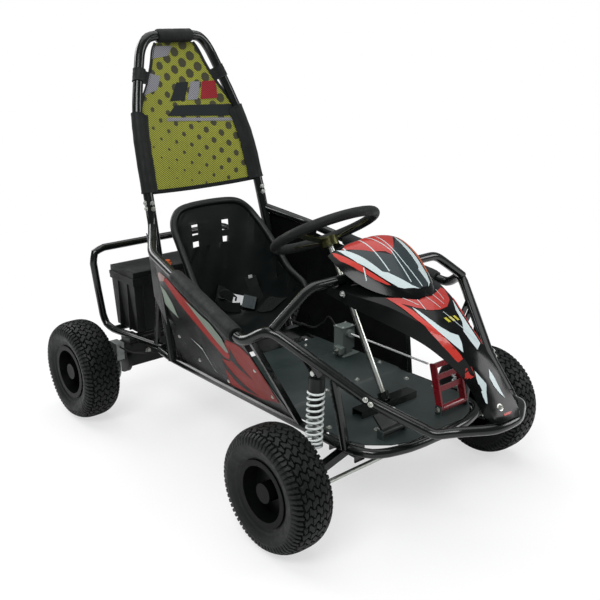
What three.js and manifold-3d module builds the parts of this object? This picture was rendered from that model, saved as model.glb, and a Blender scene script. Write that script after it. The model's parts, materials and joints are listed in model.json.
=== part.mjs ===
import * as THREE from "three";
import { mergeVertices } from "three/addons/utils/BufferGeometryUtils.js";
import Module from "manifold-3d";

// A one-seat electric off road go kart, in millimetres. +Z is up and the nose points along -Y.
// Inside the kart group Y is measured back from the front axle, X from the centre plane
// (positive on the driver's left) and Z from the ground.

// Driving dimensions
const wheelbase = 1026;
const trackWidth = 814;
const tyreDiameter = 330;
const tyreWidth = 122;
const noseReach = 390;
const hoopHeight = 1217;
const frameRise = 393;
const clearance = 0.3;

// Tubes of the frame
const mainTubeRadius = 14;
const lowerTubeRadius = 12.5;
const hoopTubeRadius = 16;
const crossTubeRadius = 10;
const strutWidth = 15;
const bendRadius = 48;
const tightBend = 26;
const tubePitch = 44;

// Lower frame and floor
const railInset = 176;
const railRise = 72.4;
const floorSheet = 3;
const floorRise = 6;
const bearerWidth = 24;
const pivotPlate = 4;

// Wheels
const beadRadius = 76.5;
const rimFlangeRadius = 88;
const rimHalfWidth = 50;
const rimSheet = 3.5;
const hubRadius = 26;
const hubCapReach = 44;
const hubBoreDepth = 36;
const axleRadius = 10;
const hubInnerReach = 14;

// Front suspension and steering
const armPivotInset = 61;
const armPivotRise = 26.4;
const armTube = 22;
const armBushRadius = 13;
const armBushHalf = 46;
const kingpinInset = 89;
const kingpinRadius = 6;
const yokeHeight = 46;
const yokePlate = 6;
const barrelRadius = 12;
const steerArmReach = 57;
const tieRodRadius = 6;
const tieRodDrop = 5.6;
const shockInset = 29;
const shockLean = 15;
const lowerEyeRise = 14.4;
const shockDrop = 58.85;
const shockEyeRadius = 10;
const shockPinRadius = 5;
const shockBodyRadius = 15;
const shockCapRadius = 21;
const shockRodRadius = 6;
const springRadius = 20.5;
const springWire = 3;
const springDrop = 45;
const springLift = 67;
const springTurns = 9;
const columnRadius = 8;
const columnFootBack = 27;
const columnFootRise = 16.2;
const columnSlope = 60;
const columnBelow = 140;
const pitmanReach = 30;
const pitmanSpread = 8.9;
const wheelDistance = 500;
const wheelRingRadius = 148;
const wheelTubeRadius = 14;
const wheelHubDrop = 34;
const wheelHubRadius = 27;

// Seat
const seatSheet = 4;
const seatRimRadius = 8;
const seatRise = 28.5;
const seatAhead = 466;
const seatDepth = 300;
const seatInset = 47;
const seatTall = 418;
const slotWidth = 27;

// Body panels
const panelSheet = 3;
const padRadius = 22.5;
const hoopPadHalf = 72;
const hoopPadRadius = 22;
const meshSheet = 3;

// Battery box
const boxInset = 175;
const boxAhead = 64;
const boxDepth = 150;
const boxTall = 181.6;
const boxTaper = 12;
const boxWall = 4;
const lidHeight = 42;
const lidLip = 6;
const cellGap = 8;
const cellHeight = 150;

// Drive and brakes
const carrierInset = 157;
const carrierAhead = 41;
const carrierDepth = 68;
const carrierDrop = 23.6;
const carrierHeight = 78;
const carrierWall = 5;
const flangeRadius = 50;
const flangeSheet = 14;
const chainInset = 104;
const chainPitch = 8;
const axleTeeth = 44;
const motorTeeth = 11;
const toothHeight = 2.6;
const sprocketSheet = 4;
const chainWidth = 9;
const chainHeight = 7;
const motorRadius = 46;
const motorLength = 130;
const motorAhead = 101;
const discRadius = 70;
const discSheet = 4;
const caliperDepth = 46;
const masterWidth = 50;
const masterDepth = 40;
const masterHeight = 72;
const masterFoot = 18;
const masterInset = 53;
const hoseRadius = 3;

// Pedals
const pedalPivotBack = -107;
const pedalPivotRise = 14.2;
const pedalHeight = 122;
const pedalLean = 32;
const pedalBar = 14;
const pedalSheet = 6;
const pedalPinRadius = 5;
const pedalTubeRadius = 9;
const earSheet = 5;
const pushrodRadius = 3;
const throttleLength = 52;

// Lap belt
const webbingSheet = 2;
const buckleWidth = 42;
const buckleLength = 44;
const buckleHeight = 15;
const buttonWidth = 28;
const buttonLength = 13;
const buttonProud = 3;

// Resolution and shared allowances
const tubeSides = 8;
const bendSteps = 2;
const tyreFacets = 24;
const rimFacets = 16;
const weldDistance = 0.001;
const overrun = 20;

const halfTrack = trackWidth / 2;
const tyreRadius = tyreDiameter / 2;
const axleHeight = tyreRadius * Math.cos(Math.PI / tyreFacets);
const frontAxleY = -(wheelbase + axleHeight - noseReach) / 2;
const railHalf = halfTrack - railInset;
const railHeight = axleHeight + railRise;
const floorBase = railHeight + lowerTubeRadius + clearance;
const floorTop = floorBase + floorSheet;
const armPivotHalf = railHalf - armPivotInset;
const armPivotHeight = axleHeight + armPivotRise;
const kingpinHalf = halfTrack - kingpinInset;
const tieRodHeight = axleHeight - tieRodDrop;
const shockHalf = kingpinHalf - shockInset;
const lowerEyeHeight = axleHeight + lowerEyeRise;
const springLow = lowerEyeHeight + springLift;
const seatFloorHeight = railHeight + lowerTubeRadius + seatRise;
const seatFront = wheelbase - seatAhead;
const seatHalf = railHalf - seatInset;
const boxHalf = halfTrack - boxInset;
const boxFront = wheelbase - boxAhead;
const boxRear = boxFront + boxDepth;
const carrierHalf = halfTrack - carrierInset;
const carrierFront = wheelbase - carrierAhead;
const carrierBottom = axleHeight - carrierDrop;
const chainLine = halfTrack - chainInset;
const motorBack = wheelbase - motorAhead;
const masterHalf = railHalf - masterInset;
const pedalPivotHeight = floorTop + pedalPivotRise;
const pedalShares = [0.303, 0.749];
const throttleShares = [0.32, 0.658];
const [pedalInner, pedalOuter] = pedalShares.map((share) => share * railHalf);
const [throttleInner, throttleOuter] = throttleShares.map((share) => share * railHalf);
const columnFootHeight = floorTop + columnFootRise;
const columnAngle = THREE.MathUtils.degToRad(columnSlope);
const columnFoot = new THREE.Vector3(0, columnFootBack, columnFootHeight);
const columnUp = new THREE.Vector3(0, Math.cos(columnAngle), Math.sin(columnAngle));
const columnForward = new THREE.Vector3(0, -Math.sin(columnAngle), Math.cos(columnAngle));

const wasm = await Module();
wasm.setup();

// Solids, joins and cuts

function toSolid(geometry) {
  const bare = geometry.clone();
  bare.deleteAttribute("normal");
  bare.deleteAttribute("uv");
  const merged = mergeVertices(bare, weldDistance);
  const mesh = new wasm.Mesh({
    numProp: 3,
    vertProperties: merged.attributes.position.array,
    triVerts: new Uint32Array(merged.index.array),
  });
  return new wasm.Manifold(mesh);
}

function toGeometry(solid) {
  const mesh = solid.getMesh();
  const geometry = new THREE.BufferGeometry();
  geometry.setAttribute("position", new THREE.BufferAttribute(mesh.vertProperties, 3));
  geometry.setIndex(new THREE.BufferAttribute(mesh.triVerts, 1));
  geometry.computeVertexNormals();
  return geometry;
}

// The same solid after a move, a turn or a mirroring.
function moved(solid, matrix) {
  const geometry = toGeometry(solid).applyMatrix4(matrix);
  if (matrix.determinant() < 0) geometry.index.array.reverse();
  return toSolid(geometry);
}

const join = (...solids) => solids.reduce((whole, piece) => whole.add(piece));
const cut = (solid, ...cutters) => cutters.reduce((rest, cutter) => rest.subtract(cutter), solid);

function box(lowX, lowY, lowZ, highX, highY, highZ) {
  const geometry = new THREE.BoxGeometry(highX - lowX, highY - lowY, highZ - lowZ);
  geometry.translate((lowX + highX) / 2, (lowY + highY) / 2, (lowZ + highZ) / 2);
  return toSolid(geometry);
}

function circlePoints(radius, sides) {
  return Array.from({ length: sides }, (_, i) => {
    const angle = ((i + 0.5) * 2 * Math.PI) / sides;
    return new THREE.Vector2(radius * Math.cos(angle), radius * Math.sin(angle));
  });
}

function sweep(outline, path, steps) {
  const shape = new THREE.Shape(outline);
  const settings = { steps, extrudePath: path, bevelEnabled: false };
  return toSolid(new THREE.ExtrudeGeometry(shape, settings));
}

// A bent path sampled only where its direction changes: one step per straight run, a few per bend.
class SteppedPath extends THREE.Curve {
  constructor(path) {
    super();
    this.points = [];
    this.tangents = [];
    path.curves.forEach((curve, index) => {
      const count = curve instanceof THREE.LineCurve3 ? 1 : bendSteps;
      for (let i = index === 0 ? 0 : 1; i <= count; i += 1) {
        this.points.push(curve.getPoint(i / count));
        this.tangents.push(curve.getTangent(i / count));
      }
    });
    this.steps = this.points.length - 1;
  }

  getPointAt(share) {
    return this.points[Math.round(share * this.steps)].clone();
  }

  getTangentAt(share, target = new THREE.Vector3()) {
    return target.copy(this.tangents[Math.round(share * this.steps)]);
  }
}

function tube(path, radius, sides = tubeSides, pitch = tubePitch) {
  if (path instanceof THREE.CurvePath) {
    const stepped = new SteppedPath(path);
    return sweep(circlePoints(radius, sides), stepped, stepped.steps);
  }
  const steps = path instanceof THREE.LineCurve3 ? 1 : Math.max(2, Math.round(path.getLength() / pitch));
  return sweep(circlePoints(radius, sides), path, steps);
}

const rod = (from, to, radius, sides = tubeSides) => tube(new THREE.LineCurve3(from, to), radius, sides);

// A hole in which a rod of the given radius turns freely.
const bore = (from, to, radius) => rod(from, to, (radius + clearance) / Math.cos(Math.PI / tubeSides));

// A flat bar whose thin way faces the given direction.
function bar(from, to, width, thickness = width, facing = new THREE.Vector3(0, 0, 1)) {
  const along = to.clone().sub(from);
  const length = along.length();
  along.normalize();
  const across = along.clone().cross(facing).normalize();
  const basis = new THREE.Matrix4().makeBasis(across, along, across.clone().cross(along));
  const centre = from.clone().lerp(to, 0.5);
  const geometry = new THREE.BoxGeometry(width, length, thickness);
  return toSolid(geometry.applyMatrix4(basis.setPosition(centre)));
}

// A path of straight runs with a rounded bend at each inner corner.
function bentPath(corners, bend = bendRadius) {
  const path = new THREE.CurvePath();
  let from = corners[0];
  for (let i = 1; i < corners.length - 1; i += 1) {
    const corner = corners[i];
    const back = corners[i - 1].clone().sub(corner);
    const ahead = corners[i + 1].clone().sub(corner);
    const reach = Math.min(bend, back.length() / 2, ahead.length() / 2);
    const start = corner.clone().addScaledVector(back.normalize(), reach);
    const end = corner.clone().addScaledVector(ahead.normalize(), reach);
    if (from.distanceTo(start) > weldDistance) path.add(new THREE.LineCurve3(from, start));
    path.add(new THREE.QuadraticBezierCurve3(start, corner, end));
    from = end;
  }
  path.add(new THREE.LineCurve3(from, corners.at(-1)));
  return path;
}

// A closed sheet whose outer face is a grid of points, rows first, with the inner face one sheet behind.
function sheet(grid, thickness) {
  const rows = grid.length;
  const columns = grid[0].length;
  const at = (r, c) => grid[Math.min(Math.max(r, 0), rows - 1)][Math.min(Math.max(c, 0), columns - 1)];
  const inner = grid.map((row, r) =>
    row.map((point, c) => {
      const along = at(r + 1, c).clone().sub(at(r - 1, c));
      const across = at(r, c + 1).clone().sub(at(r, c - 1));
      return point.clone().addScaledVector(along.cross(across).normalize(), -thickness);
    }),
  );
  const outerIndex = (r, c) => r * columns + c;
  const innerIndex = (r, c) => rows * columns + r * columns + c;
  const faces = [];
  const quad = (a, b, c, d) => faces.push(a, b, c, a, c, d);
  for (let r = 0; r < rows - 1; r += 1) {
    for (let c = 0; c < columns - 1; c += 1) {
      quad(outerIndex(r, c), outerIndex(r + 1, c), outerIndex(r + 1, c + 1), outerIndex(r, c + 1));
      quad(innerIndex(r, c), innerIndex(r, c + 1), innerIndex(r + 1, c + 1), innerIndex(r + 1, c));
    }
    const last = columns - 1;
    quad(outerIndex(r + 1, 0), outerIndex(r, 0), innerIndex(r, 0), innerIndex(r + 1, 0));
    quad(outerIndex(r, last), outerIndex(r + 1, last), innerIndex(r + 1, last), innerIndex(r, last));
  }
  for (let c = 0; c < columns - 1; c += 1) {
    const last = rows - 1;
    quad(outerIndex(0, c), outerIndex(0, c + 1), innerIndex(0, c + 1), innerIndex(0, c));
    quad(outerIndex(last, c + 1), outerIndex(last, c), innerIndex(last, c), innerIndex(last, c + 1));
  }
  const points = [...grid.flat(), ...inner.flat()].flatMap((point) => point.toArray());
  const geometry = new THREE.BufferGeometry();
  geometry.setAttribute("position", new THREE.Float32BufferAttribute(points, 3));
  geometry.setIndex(faces);
  return toSolid(geometry);
}

// A solid of revolution about X through the origin, from a profile of [radius, x] pairs.
function turned(profile, facets) {
  const points = profile.map(([radius, x]) => new THREE.Vector2(radius, x));
  const geometry = new THREE.LatheGeometry(points, facets, Math.PI / facets);
  geometry.rotateZ(-Math.PI / 2);
  return toSolid(geometry);
}

const mirrored = (points) => points.map((point) => new THREE.Vector3(-point.x, point.y, point.z));
const throughMirror = (points) => [...points, ...mirrored(points).reverse()];
const vector = (x, y, z) => new THREE.Vector3(x, y, z);

// A station of the frame, from its shares of half the track, the wheelbase and the rise over the rails.
const overRails = (up) => railHeight + up * frameRise;
const station = ([across, back, up]) => vector(across * halfTrack, back * wheelbase, overRails(up));

// Frame lines, on the driver's left side

const sideTubeShares = [
  [0.545, 0.817, 1.0593],
  [0.754, 0.687, 0.9385],
  [0.953, 0.146, 0.6722],
  [0.885, 0.076, 0.7899],
  [0.563, -0.137, 0.3935],
  [0.4, -0.255, 0.2635],
];
const legTopShare = [0.535, 0.828, 1.1801];
const legFootShares = [0.582, 0.712];
const hoopShares = [
  [0.516, 0.877, 0.3482],
  [0.472, 0.92, 0.56],
  [0.32, 0.98, 0.9247],
];
const hoopTopShares = [0.24, 0.985];
const dashShares = [
  [0.878, 0.069, 0.7899],
  [0.609, 0.07, 0.9788],
  [0.55, 0.07, 1.0005],
];
const postTopShare = [0.681, -0.059, 0.5391];
const rightStrutFootShare = 0.11;
const rightStrutTopShare = [0.934, 0.125, 0.7032];
const leftStrutFootShare = 0.145;
const leftStrutTopShare = 0.71;
const guardShares = [
  [0.511, 0.817, 0.0157],
  [0.639, 1.103, 0.0343],
  [0.715, 1.103, 0.7466],
];
const rearStrutShares = [
  [0.526, 0.844, 0.025],
  [0.558, 0.78, 0.7001],
];
const bowShares = [
  [0.943, 0.817],
  [1, 0.741],
  [1, -0.058],
  [0.9, -0.13],
  [0.47, -0.164],
];
const bumperShares = [
  [0.3, -0.318, 0.2774],
  [0.2, -0.344, 0.2774],
];

const sideCorners = sideTubeShares.map(station);
const sidePath = bentPath(sideCorners, tightBend);
const sideTubeAt = (back) => {
  const [from, to] = [sideCorners[3], sideCorners[4]];
  return from.clone().lerp(to, (back - from.y) / (to.y - from.y));
};
const shockTop = sideTubeAt(0).z - shockDrop;
const springTop = shockTop - springDrop;
const springLength = springTop - springLow;
const legTop = station(legTopShare);
const legFoot = vector(legFootShares[0] * halfTrack, legFootShares[1] * wheelbase, railHeight);
const legDirection = legTop.clone().sub(legFoot).normalize();
const loopCorners = bowShares.map(([across, back]) => vector(across * railHalf, back * wheelbase, railHeight));
const loopPath = bentPath(throughMirror(loopCorners), tightBend * 2);
const dashCorners = dashShares.map(station);
const dashPath = bentPath(throughMirror(dashCorners), bendRadius);
const guardCorners = guardShares.map(station);
const guardPath = bentPath(throughMirror(guardCorners), bendRadius);
const postTop = station(postTopShare);
const postFoot = vector(railHalf, postTop.y, railHeight);
const alongPad = (share) => sideCorners[1].clone().lerp(sideCorners[2], share);
const rightStrut = [vector(railHalf, rightStrutFootShare * wheelbase, railHeight), station(rightStrutTopShare)];
const leftStrut = [vector(railHalf, leftStrutFootShare * wheelbase, railHeight), alongPad(leftStrutTopShare)];

// The hoop starts just above each leg and the bumper just ahead of each side tube.
const hoopFoot = legTop.clone().addScaledVector(legDirection, clearance);
const hoopTop = vector(hoopTopShares[0] * halfTrack, hoopTopShares[1] * wheelbase, hoopHeight);
const hoopStart = hoopFoot.clone().addScaledVector(legDirection, hoopTubeRadius * 2);
const hoopStation = ([across, back, up]) =>
  vector(across * halfTrack, back * wheelbase, THREE.MathUtils.lerp(legTop.z, hoopHeight, up));
const hoopCorners = [hoopFoot, hoopStart, ...hoopShares.map(hoopStation), hoopTop];
const hoopPath = bentPath(throughMirror(hoopCorners), bendRadius * 1.6);
const noseEnd = sideCorners.at(-1);
const noseRun = noseEnd.clone().sub(sideCorners.at(-2)).normalize();
const bumperFoot = noseEnd.clone().addScaledVector(noseRun, clearance);
const bumperTurn = noseEnd.clone().addScaledVector(noseRun, lowerTubeRadius * 2);
const bumperFront = vector(0, lowerTubeRadius - noseReach, overRails(bumperShares[0][2]));
const bumperCorners = [bumperFoot, bumperTurn, ...bumperShares.map(station)];
const bumperPath = bentPath(
  [...bumperCorners, bumperFront.clone().setX(bumperCorners.at(-1).x / 2), bumperFront.clone()
    .setX(-bumperCorners.at(-1).x / 2), ...mirrored(bumperCorners).reverse()],
  tightBend * 2,
);

const mirrorX = (solid) => moved(solid, new THREE.Matrix4().makeScale(-1, 1, 1));
const mirrorY = (solid) => moved(solid, new THREE.Matrix4().makeScale(1, -1, 1));
const bothSides = (solid) => join(solid, mirrorX(solid));
const fatSide = tube(sidePath, mainTubeRadius + clearance);
const fatLeg = rod(
  legFoot,
  legTop.clone().addScaledVector(legDirection, clearance / 2),
  hoopTubeRadius + clearance,
);
const fatLoop = tube(loopPath, lowerTubeRadius + clearance);
const fatHoop = tube(hoopPath, hoopTubeRadius + clearance);
const fatGuard = tube(guardPath, lowerTubeRadius + clearance);
const fatDash = tube(dashPath, lowerTubeRadius + clearance);
const fatBumper = tube(bumperPath, lowerTubeRadius + clearance);

// Lower loop with its cross tubes, posts, side struts, seat bearers and arm brackets.
const rearCrossBack = bowShares[0][1] * wheelbase;
const midCrossShares = [0.32, 0.53];
const bearerShares = [0.622, 0.72];
const armCrossBack = armBushHalf + clearance + pivotPlate / 2;
const bearerTop = seatFloorHeight - clearance;

function crossTube(back, radius) {
  const height = railHeight + lowerTubeRadius - radius;
  return rod(vector(-railHalf, back, height), vector(railHalf, back, height), radius);
}

function seatBearer(share) {
  const back = share * wheelbase;
  const bearer = box(
    -railHalf,
    back - bearerWidth / 2,
    railHeight,
    railHalf,
    back + bearerWidth / 2,
    bearerTop,
  );
  return cut(bearer, bothSides(fatLeg));
}

function armBracketPlate(back) {
  const half = armBushRadius + pivotPlate;
  const plate = box(
    armPivotHalf - half,
    back - pivotPlate / 2,
    armPivotHeight - half,
    armPivotHalf + half,
    back + pivotPlate / 2,
    railHeight,
  );
  return plate;
}

function armPivotPin() {
  const from = vector(armPivotHalf, -armCrossBack, armPivotHeight);
  const to = vector(armPivotHalf, armCrossBack, armPivotHeight);
  return rod(from, to, kingpinRadius);
}

function baseFrame() {
  const rearCross = rod(
    vector(-loopCorners[0].x, rearCrossBack, railHeight),
    vector(loopCorners[0].x, rearCrossBack, railHeight),
    lowerTubeRadius,
  );
  const uprights = join(
    rod(postFoot, postTop, lowerTubeRadius),
    armBracketPlate(armCrossBack),
    armBracketPlate(-armCrossBack),
    armPivotPin(),
  );
  const whole = join(
    tube(loopPath, lowerTubeRadius),
    rearCross,
    crossTube(armCrossBack, crossTubeRadius),
    crossTube(-armCrossBack, crossTubeRadius),
    ...midCrossShares.map((share) => crossTube(share * wheelbase, crossTubeRadius)),
    ...bearerShares.map(seatBearer),
    bothSides(uprights),
    bar(...leftStrut, strutWidth),
    mirrorX(bar(...rightStrut, strutWidth)),
  );
  return cut(whole, bothSides(fatSide));
}

function sideFrame() {
  return cut(join(tube(sidePath, mainTubeRadius), rod(legFoot, legTop, hoopTubeRadius)), fatLoop);
}

// Rear guard with the two battery cross tubes and the struts that run up to the hoop legs.
const trayShares = [0.952, 1.062];
const guardPoint = (back) => {
  const share = (back - guardCorners[0].y) / (guardCorners[1].y - guardCorners[0].y);
  return guardCorners[0].clone().lerp(guardCorners[1], share);
};
const trayTop = guardPoint(trayShares[0] * wheelbase).z + lowerTubeRadius;

function trayTube(share) {
  const end = guardPoint(share * wheelbase);
  const height = trayTop - crossTubeRadius;
  return rod(vector(-end.x, end.y, height), vector(end.x, end.y, height), crossTubeRadius);
}

function rearGuard() {
  const strut = rod(station(rearStrutShares[0]), station(rearStrutShares[1]), crossTubeRadius);
  const whole = join(tube(guardPath, lowerTubeRadius), bothSides(strut), ...trayShares.map(trayTube));
  const rearCross = rod(
    vector(-railHalf, rearCrossBack, railHeight),
    vector(railHalf, rearCrossBack, railHeight),
    lowerTubeRadius + clearance,
  );
  return cut(whole, bothSides(fatLeg), fatLoop, rearCross);
}

// Steering column clearances in the pieces that it passes through.
function columnPoint(distance, forward = 0, across = 0) {
  return columnFoot
    .clone()
    .addScaledVector(columnUp, distance)
    .addScaledVector(columnForward, forward)
    .setX(across);
}
const columnBore = (radius = columnRadius) => bore(
  columnPoint(-columnBelow),
  columnPoint(wheelDistance),
  radius,
);

function dashHoop() {
  const sleeveDistance = wheelDistance * 0.6;
  const sleeveHalf = columnRadius * 2.2;
  const sleeve = rod(
    columnPoint(sleeveDistance - sleeveHalf),
    columnPoint(sleeveDistance + sleeveHalf),
    columnRadius * 2.2,
  );
  const stay = bar(
    dashCorners.at(-1).clone().setX(0),
    columnPoint(sleeveDistance),
    crossTubeRadius * 3,
    crossTubeRadius,
  );
  return cut(join(tube(dashPath, lowerTubeRadius), sleeve, stay), columnBore(), bothSides(fatSide));
}

const noseBumper = () => cut(tube(bumperPath, lowerTubeRadius), bothSides(fatSide));
const rollHoop = () => tube(hoopPath, hoopTubeRadius);

// Floor pan, pressed with one raised step, with the two pedal brackets on it.
const floorStepEndShare = 0.4;
const floorShares = [
  [-0.158, 0.45, 0],
  [-0.14, 0.66, 0],
  [-0.1, 0.86, 0],
  [-0.05, 0.96, 0],
  [0.17, 0.96, 0],
  [0.185, 0.96, 1],
  [floorStepEndShare, 0.96, 1],
  [0.415, 0.96, 0],
  [0.545, 0.96, 0],
];

function pedalEar(across) {
  const half = pedalPinRadius * 2;
  return box(
    across - earSheet / 2,
    pedalPivotBack - half,
    floorBase,
    across + earSheet / 2,
    pedalPivotBack + half,
    pedalPivotHeight + half,
  );
}

function pedalBracket(inner, outer) {
  const low = inner - earSheet / 2 - clearance;
  const high = outer + earSheet / 2 + clearance;
  const height = pedalPivotHeight;
  const pin = rod(vector(low, pedalPivotBack, height), vector(high, pedalPivotBack, height), pedalPinRadius);
  return join(pedalEar(low), pedalEar(high), pin);
}

function floorPan() {
  const grid = floorShares.map(([back, across, step]) =>
    [1, 0.5, 0, -0.5, -1].map((share) =>
      vector(share * across * railHalf, back * wheelbase, floorTop + step * floorRise),
    ),
  );
  const slotHalf = columnRadius * 2;
  const slot = box(
    -slotHalf,
    columnFootBack - slotHalf * 1.8,
    floorBase - overrun,
    slotHalf,
    columnFootBack + slotHalf * 0.3,
    floorTop + overrun,
  );
  const pan = join(
    sheet(grid, floorSheet),
    pedalBracket(pedalInner, pedalOuter),
    pedalBracket(-throttleOuter, -throttleInner),
  );
  return cut(pan, slot);
}

// Inverted channel on the floor with the lower bearing of the column.
function steeringBracket() {
  const half = railHalf * 0.46;
  const front = columnFootBack - columnRadius * 2.4;
  const rear = columnFootBack + columnRadius * 2.4;
  const top = floorTop + columnRadius * 2.5;
  const channel = cut(
    box(-half, front, floorTop + clearance, half, rear, top),
    box(
      -half - overrun,
      front + panelSheet,
      floorTop - overrun,
      half + overrun,
      rear - panelSheet,
      top - panelSheet,
    ),
  );
  const bearing = rod(columnPoint(columnRadius / 4), columnPoint(columnRadius * 3), columnRadius * 2);
  return cut(join(channel, bearing), columnBore());
}

// Seat shell: rows run from the front lip to the top of the back.
// Each row gives the place of its middle and of its rim.
const seatMiddleShares = [
  [0.1, 0.058],
  [0.18, 0.026],
  [0.28, 0],
  [0.44, 0],
  [0.66, 0],
  [0.82, 0.045],
  [0.895, 0.185],
  [0.93, 0.42],
  [0.95, 0.66],
  [0.967, 0.85],
  [0.98, 0.955],
  [0.985, 1],
];
const seatRimShares = [
  [0.6, 0.33, 0.035],
  [0.8, 0.26, 0.125],
  [0.94, 0.16, 0.23],
  [1, 0.04, 0.33],
  [1.01, 0.08, 0.385],
  [1, 0.33, 0.475],
  [0.965, 0.515, 0.62],
  [0.92, 0.7, 0.76],
  [0.87, 0.83, 0.85],
  [0.8, 0.9, 0.912],
  [0.68, 0.945, 0.96],
  [0.48, 0.965, 0.988],
];
const seatColumnShares = [-1, -0.86, -0.62, -0.32, 0, 0.32, 0.62, 0.86, 1];

function seatPoint(row, across) {
  const middle = seatMiddleShares[row];
  const rim = seatRimShares[row];
  const lift = Math.abs(across) ** 3.2;
  return vector(
    across * rim[0] * seatHalf,
    seatFront + THREE.MathUtils.lerp(middle[0], rim[1], lift) * seatDepth,
    seatFloorHeight + THREE.MathUtils.lerp(middle[1], rim[2], lift) * seatTall,
  );
}

function seatSlot(across, height, tall) {
  const low = seatFloorHeight + height * seatTall;
  const left = across * seatHalf - slotWidth / 2;
  const back = seatFront + seatDepth;
  return box(left, back - slotWidth * 2, low, left + slotWidth, back + slotWidth, low + tall);
}

function seat() {
  const grid = seatMiddleShares.map((_, row) => seatColumnShares.map((share) => seatPoint(row, share)));
  const rimLine = seatRimShares.map((_, row) => seatPoint(row, -1));
  const rimPath = new THREE.CatmullRomCurve3([...rimLine, ...mirrored(rimLine).reverse()]);
  const rim = tube(rimPath, seatRimRadius, 6, tubePitch * 1.2);
  const slots = [-1, 1].flatMap((side) => [
    seatSlot(side * 0.33, 0.76, slotWidth * 1.3),
    seatSlot(side * 0.33, 0.665, slotWidth * 0.7),
  ]);
  return cut(join(sheet(grid, seatSheet), rim), ...slots);
}

// A point over the inner face of the seat, from its row and its share across.
function overSeat(row, across, lift) {
  const low = Math.floor(row);
  const column = seatColumnShares.findLastIndex((share) => share <= across);
  const [left, right] = [seatColumnShares[column], seatColumnShares[column + 1]];
  const corners = [low, low + 1].map((r) => [seatPoint(r, left), seatPoint(r, right)]);
  const share = (across - left) / (right - left);
  const [front, back] = corners.map(([a, b]) => a.clone().lerp(b, share));
  const over = corners[0][1].clone().sub(corners[0][0]).add(corners[1][1]).sub(corners[1][0]);
  const normal = over.cross(back.clone().sub(front)).normalize();
  return { point: front.lerp(back, row - low).addScaledVector(normal, lift), normal };
}

// Lap belt that lies in the corner of the seat: a strap at each end of the buckle.
// Each line gives a share across the seat and a row.
const strapLift = seatSheet + clearance * 4;
const leftStrapShares = [
  [0.69, 4.5],
  [0.73, 4.2],
  [0.76, 4],
  [0.79, 3.8],
];
const leftSpreadShares = [0.09, 0.1];
const rightStrapShares = [
  [0.02, 6.3],
  [0.12, 6.2],
  [0.22, 6.05],
  [0.33, 5.8],
];
const rightSpreadShares = [0.06, 0.28];

function strap(placeShares, [acrossShare, rowShare]) {
  const grid = placeShares.map(([across, row]) =>
    [-1, 0, 1].map((side) => overSeat(row + side * rowShare, across + side * acrossShare, strapLift).point),
  );
  return sheet(grid.reverse(), webbingSheet);
}

// Buckle with its tongue, laid against the seat, and the button in its face.
const buckleSeat = overSeat(4.95, 0.6, seatSheet + buckleHeight * 1.6).point;
const buckleNormal = overSeat(5.4, 0.5, 0).normal;
const buckleAcross = overSeat(4.7, 0.65, seatSheet).point.sub(overSeat(5.85, 0.34, seatSheet).point);

function buckleFrame() {
  const normal = buckleNormal.clone();
  const along = buckleAcross.clone().addScaledVector(normal, -buckleAcross.dot(normal)).normalize();
  const basis = new THREE.Matrix4().makeBasis(along, normal.clone().cross(along), normal);
  return basis.setPosition(buckleSeat);
}

function beltBuckle() {
  const half = buckleHeight / 2;
  const body = box(-buckleLength / 2, -buckleWidth / 2, -half, buckleLength / 2, buckleWidth / 2, half);
  const tongueEnd = -buckleLength / 2 - buckleWidth * 0.8;
  const tongue = box(tongueEnd, -buckleWidth * 0.38, -webbingSheet, 0, buckleWidth * 0.38, webbingSheet);
  const eye = box(
    tongueEnd + buttonLength / 2,
    -buttonWidth / 4,
    -buckleHeight,
    tongueEnd + buttonLength,
    buttonWidth / 4,
    buckleHeight,
  );
  const pocket = box(
    -clearance,
    -buttonWidth / 2 - clearance,
    half - buttonProud * 2,
    buttonLength + clearance,
    buttonWidth / 2 + clearance,
    buckleHeight,
  );
  return moved(cut(join(body, tongue), eye, pocket), buckleFrame());
}

function buckleButton() {
  const top = buckleHeight / 2;
  const low = top - buttonProud + clearance;
  const button = box(0, -buttonWidth / 2, low, buttonLength, buttonWidth / 2, top + buttonProud / 2);
  return moved(button, buckleFrame());
}

// Headrest mesh with its side sleeves, and the straps round the hoop.
const sleeveTopShare = 0.245;
const strapShares = [0.355, 0.385];
const sleeveSheet = 3.5;
const hoopPadSides = 16;
const meshBottomShare = 0.04;

function hoopPart(fromShare, toShare) {
  const steps = 8;
  const points = Array.from({ length: steps + 1 }, (_, i) =>
    hoopPath.getPointAt(THREE.MathUtils.lerp(fromShare, toShare, i / steps)),
  );
  return new THREE.CatmullRomCurve3(points);
}

const meshShares = [
  [0.04, 1],
  [0.1, 1],
  [0.17, 1],
  [0.245, 0.96],
  [0.3, 0.83],
  [0.345, 0.74],
  [0.385, 0.69],
];

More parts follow.
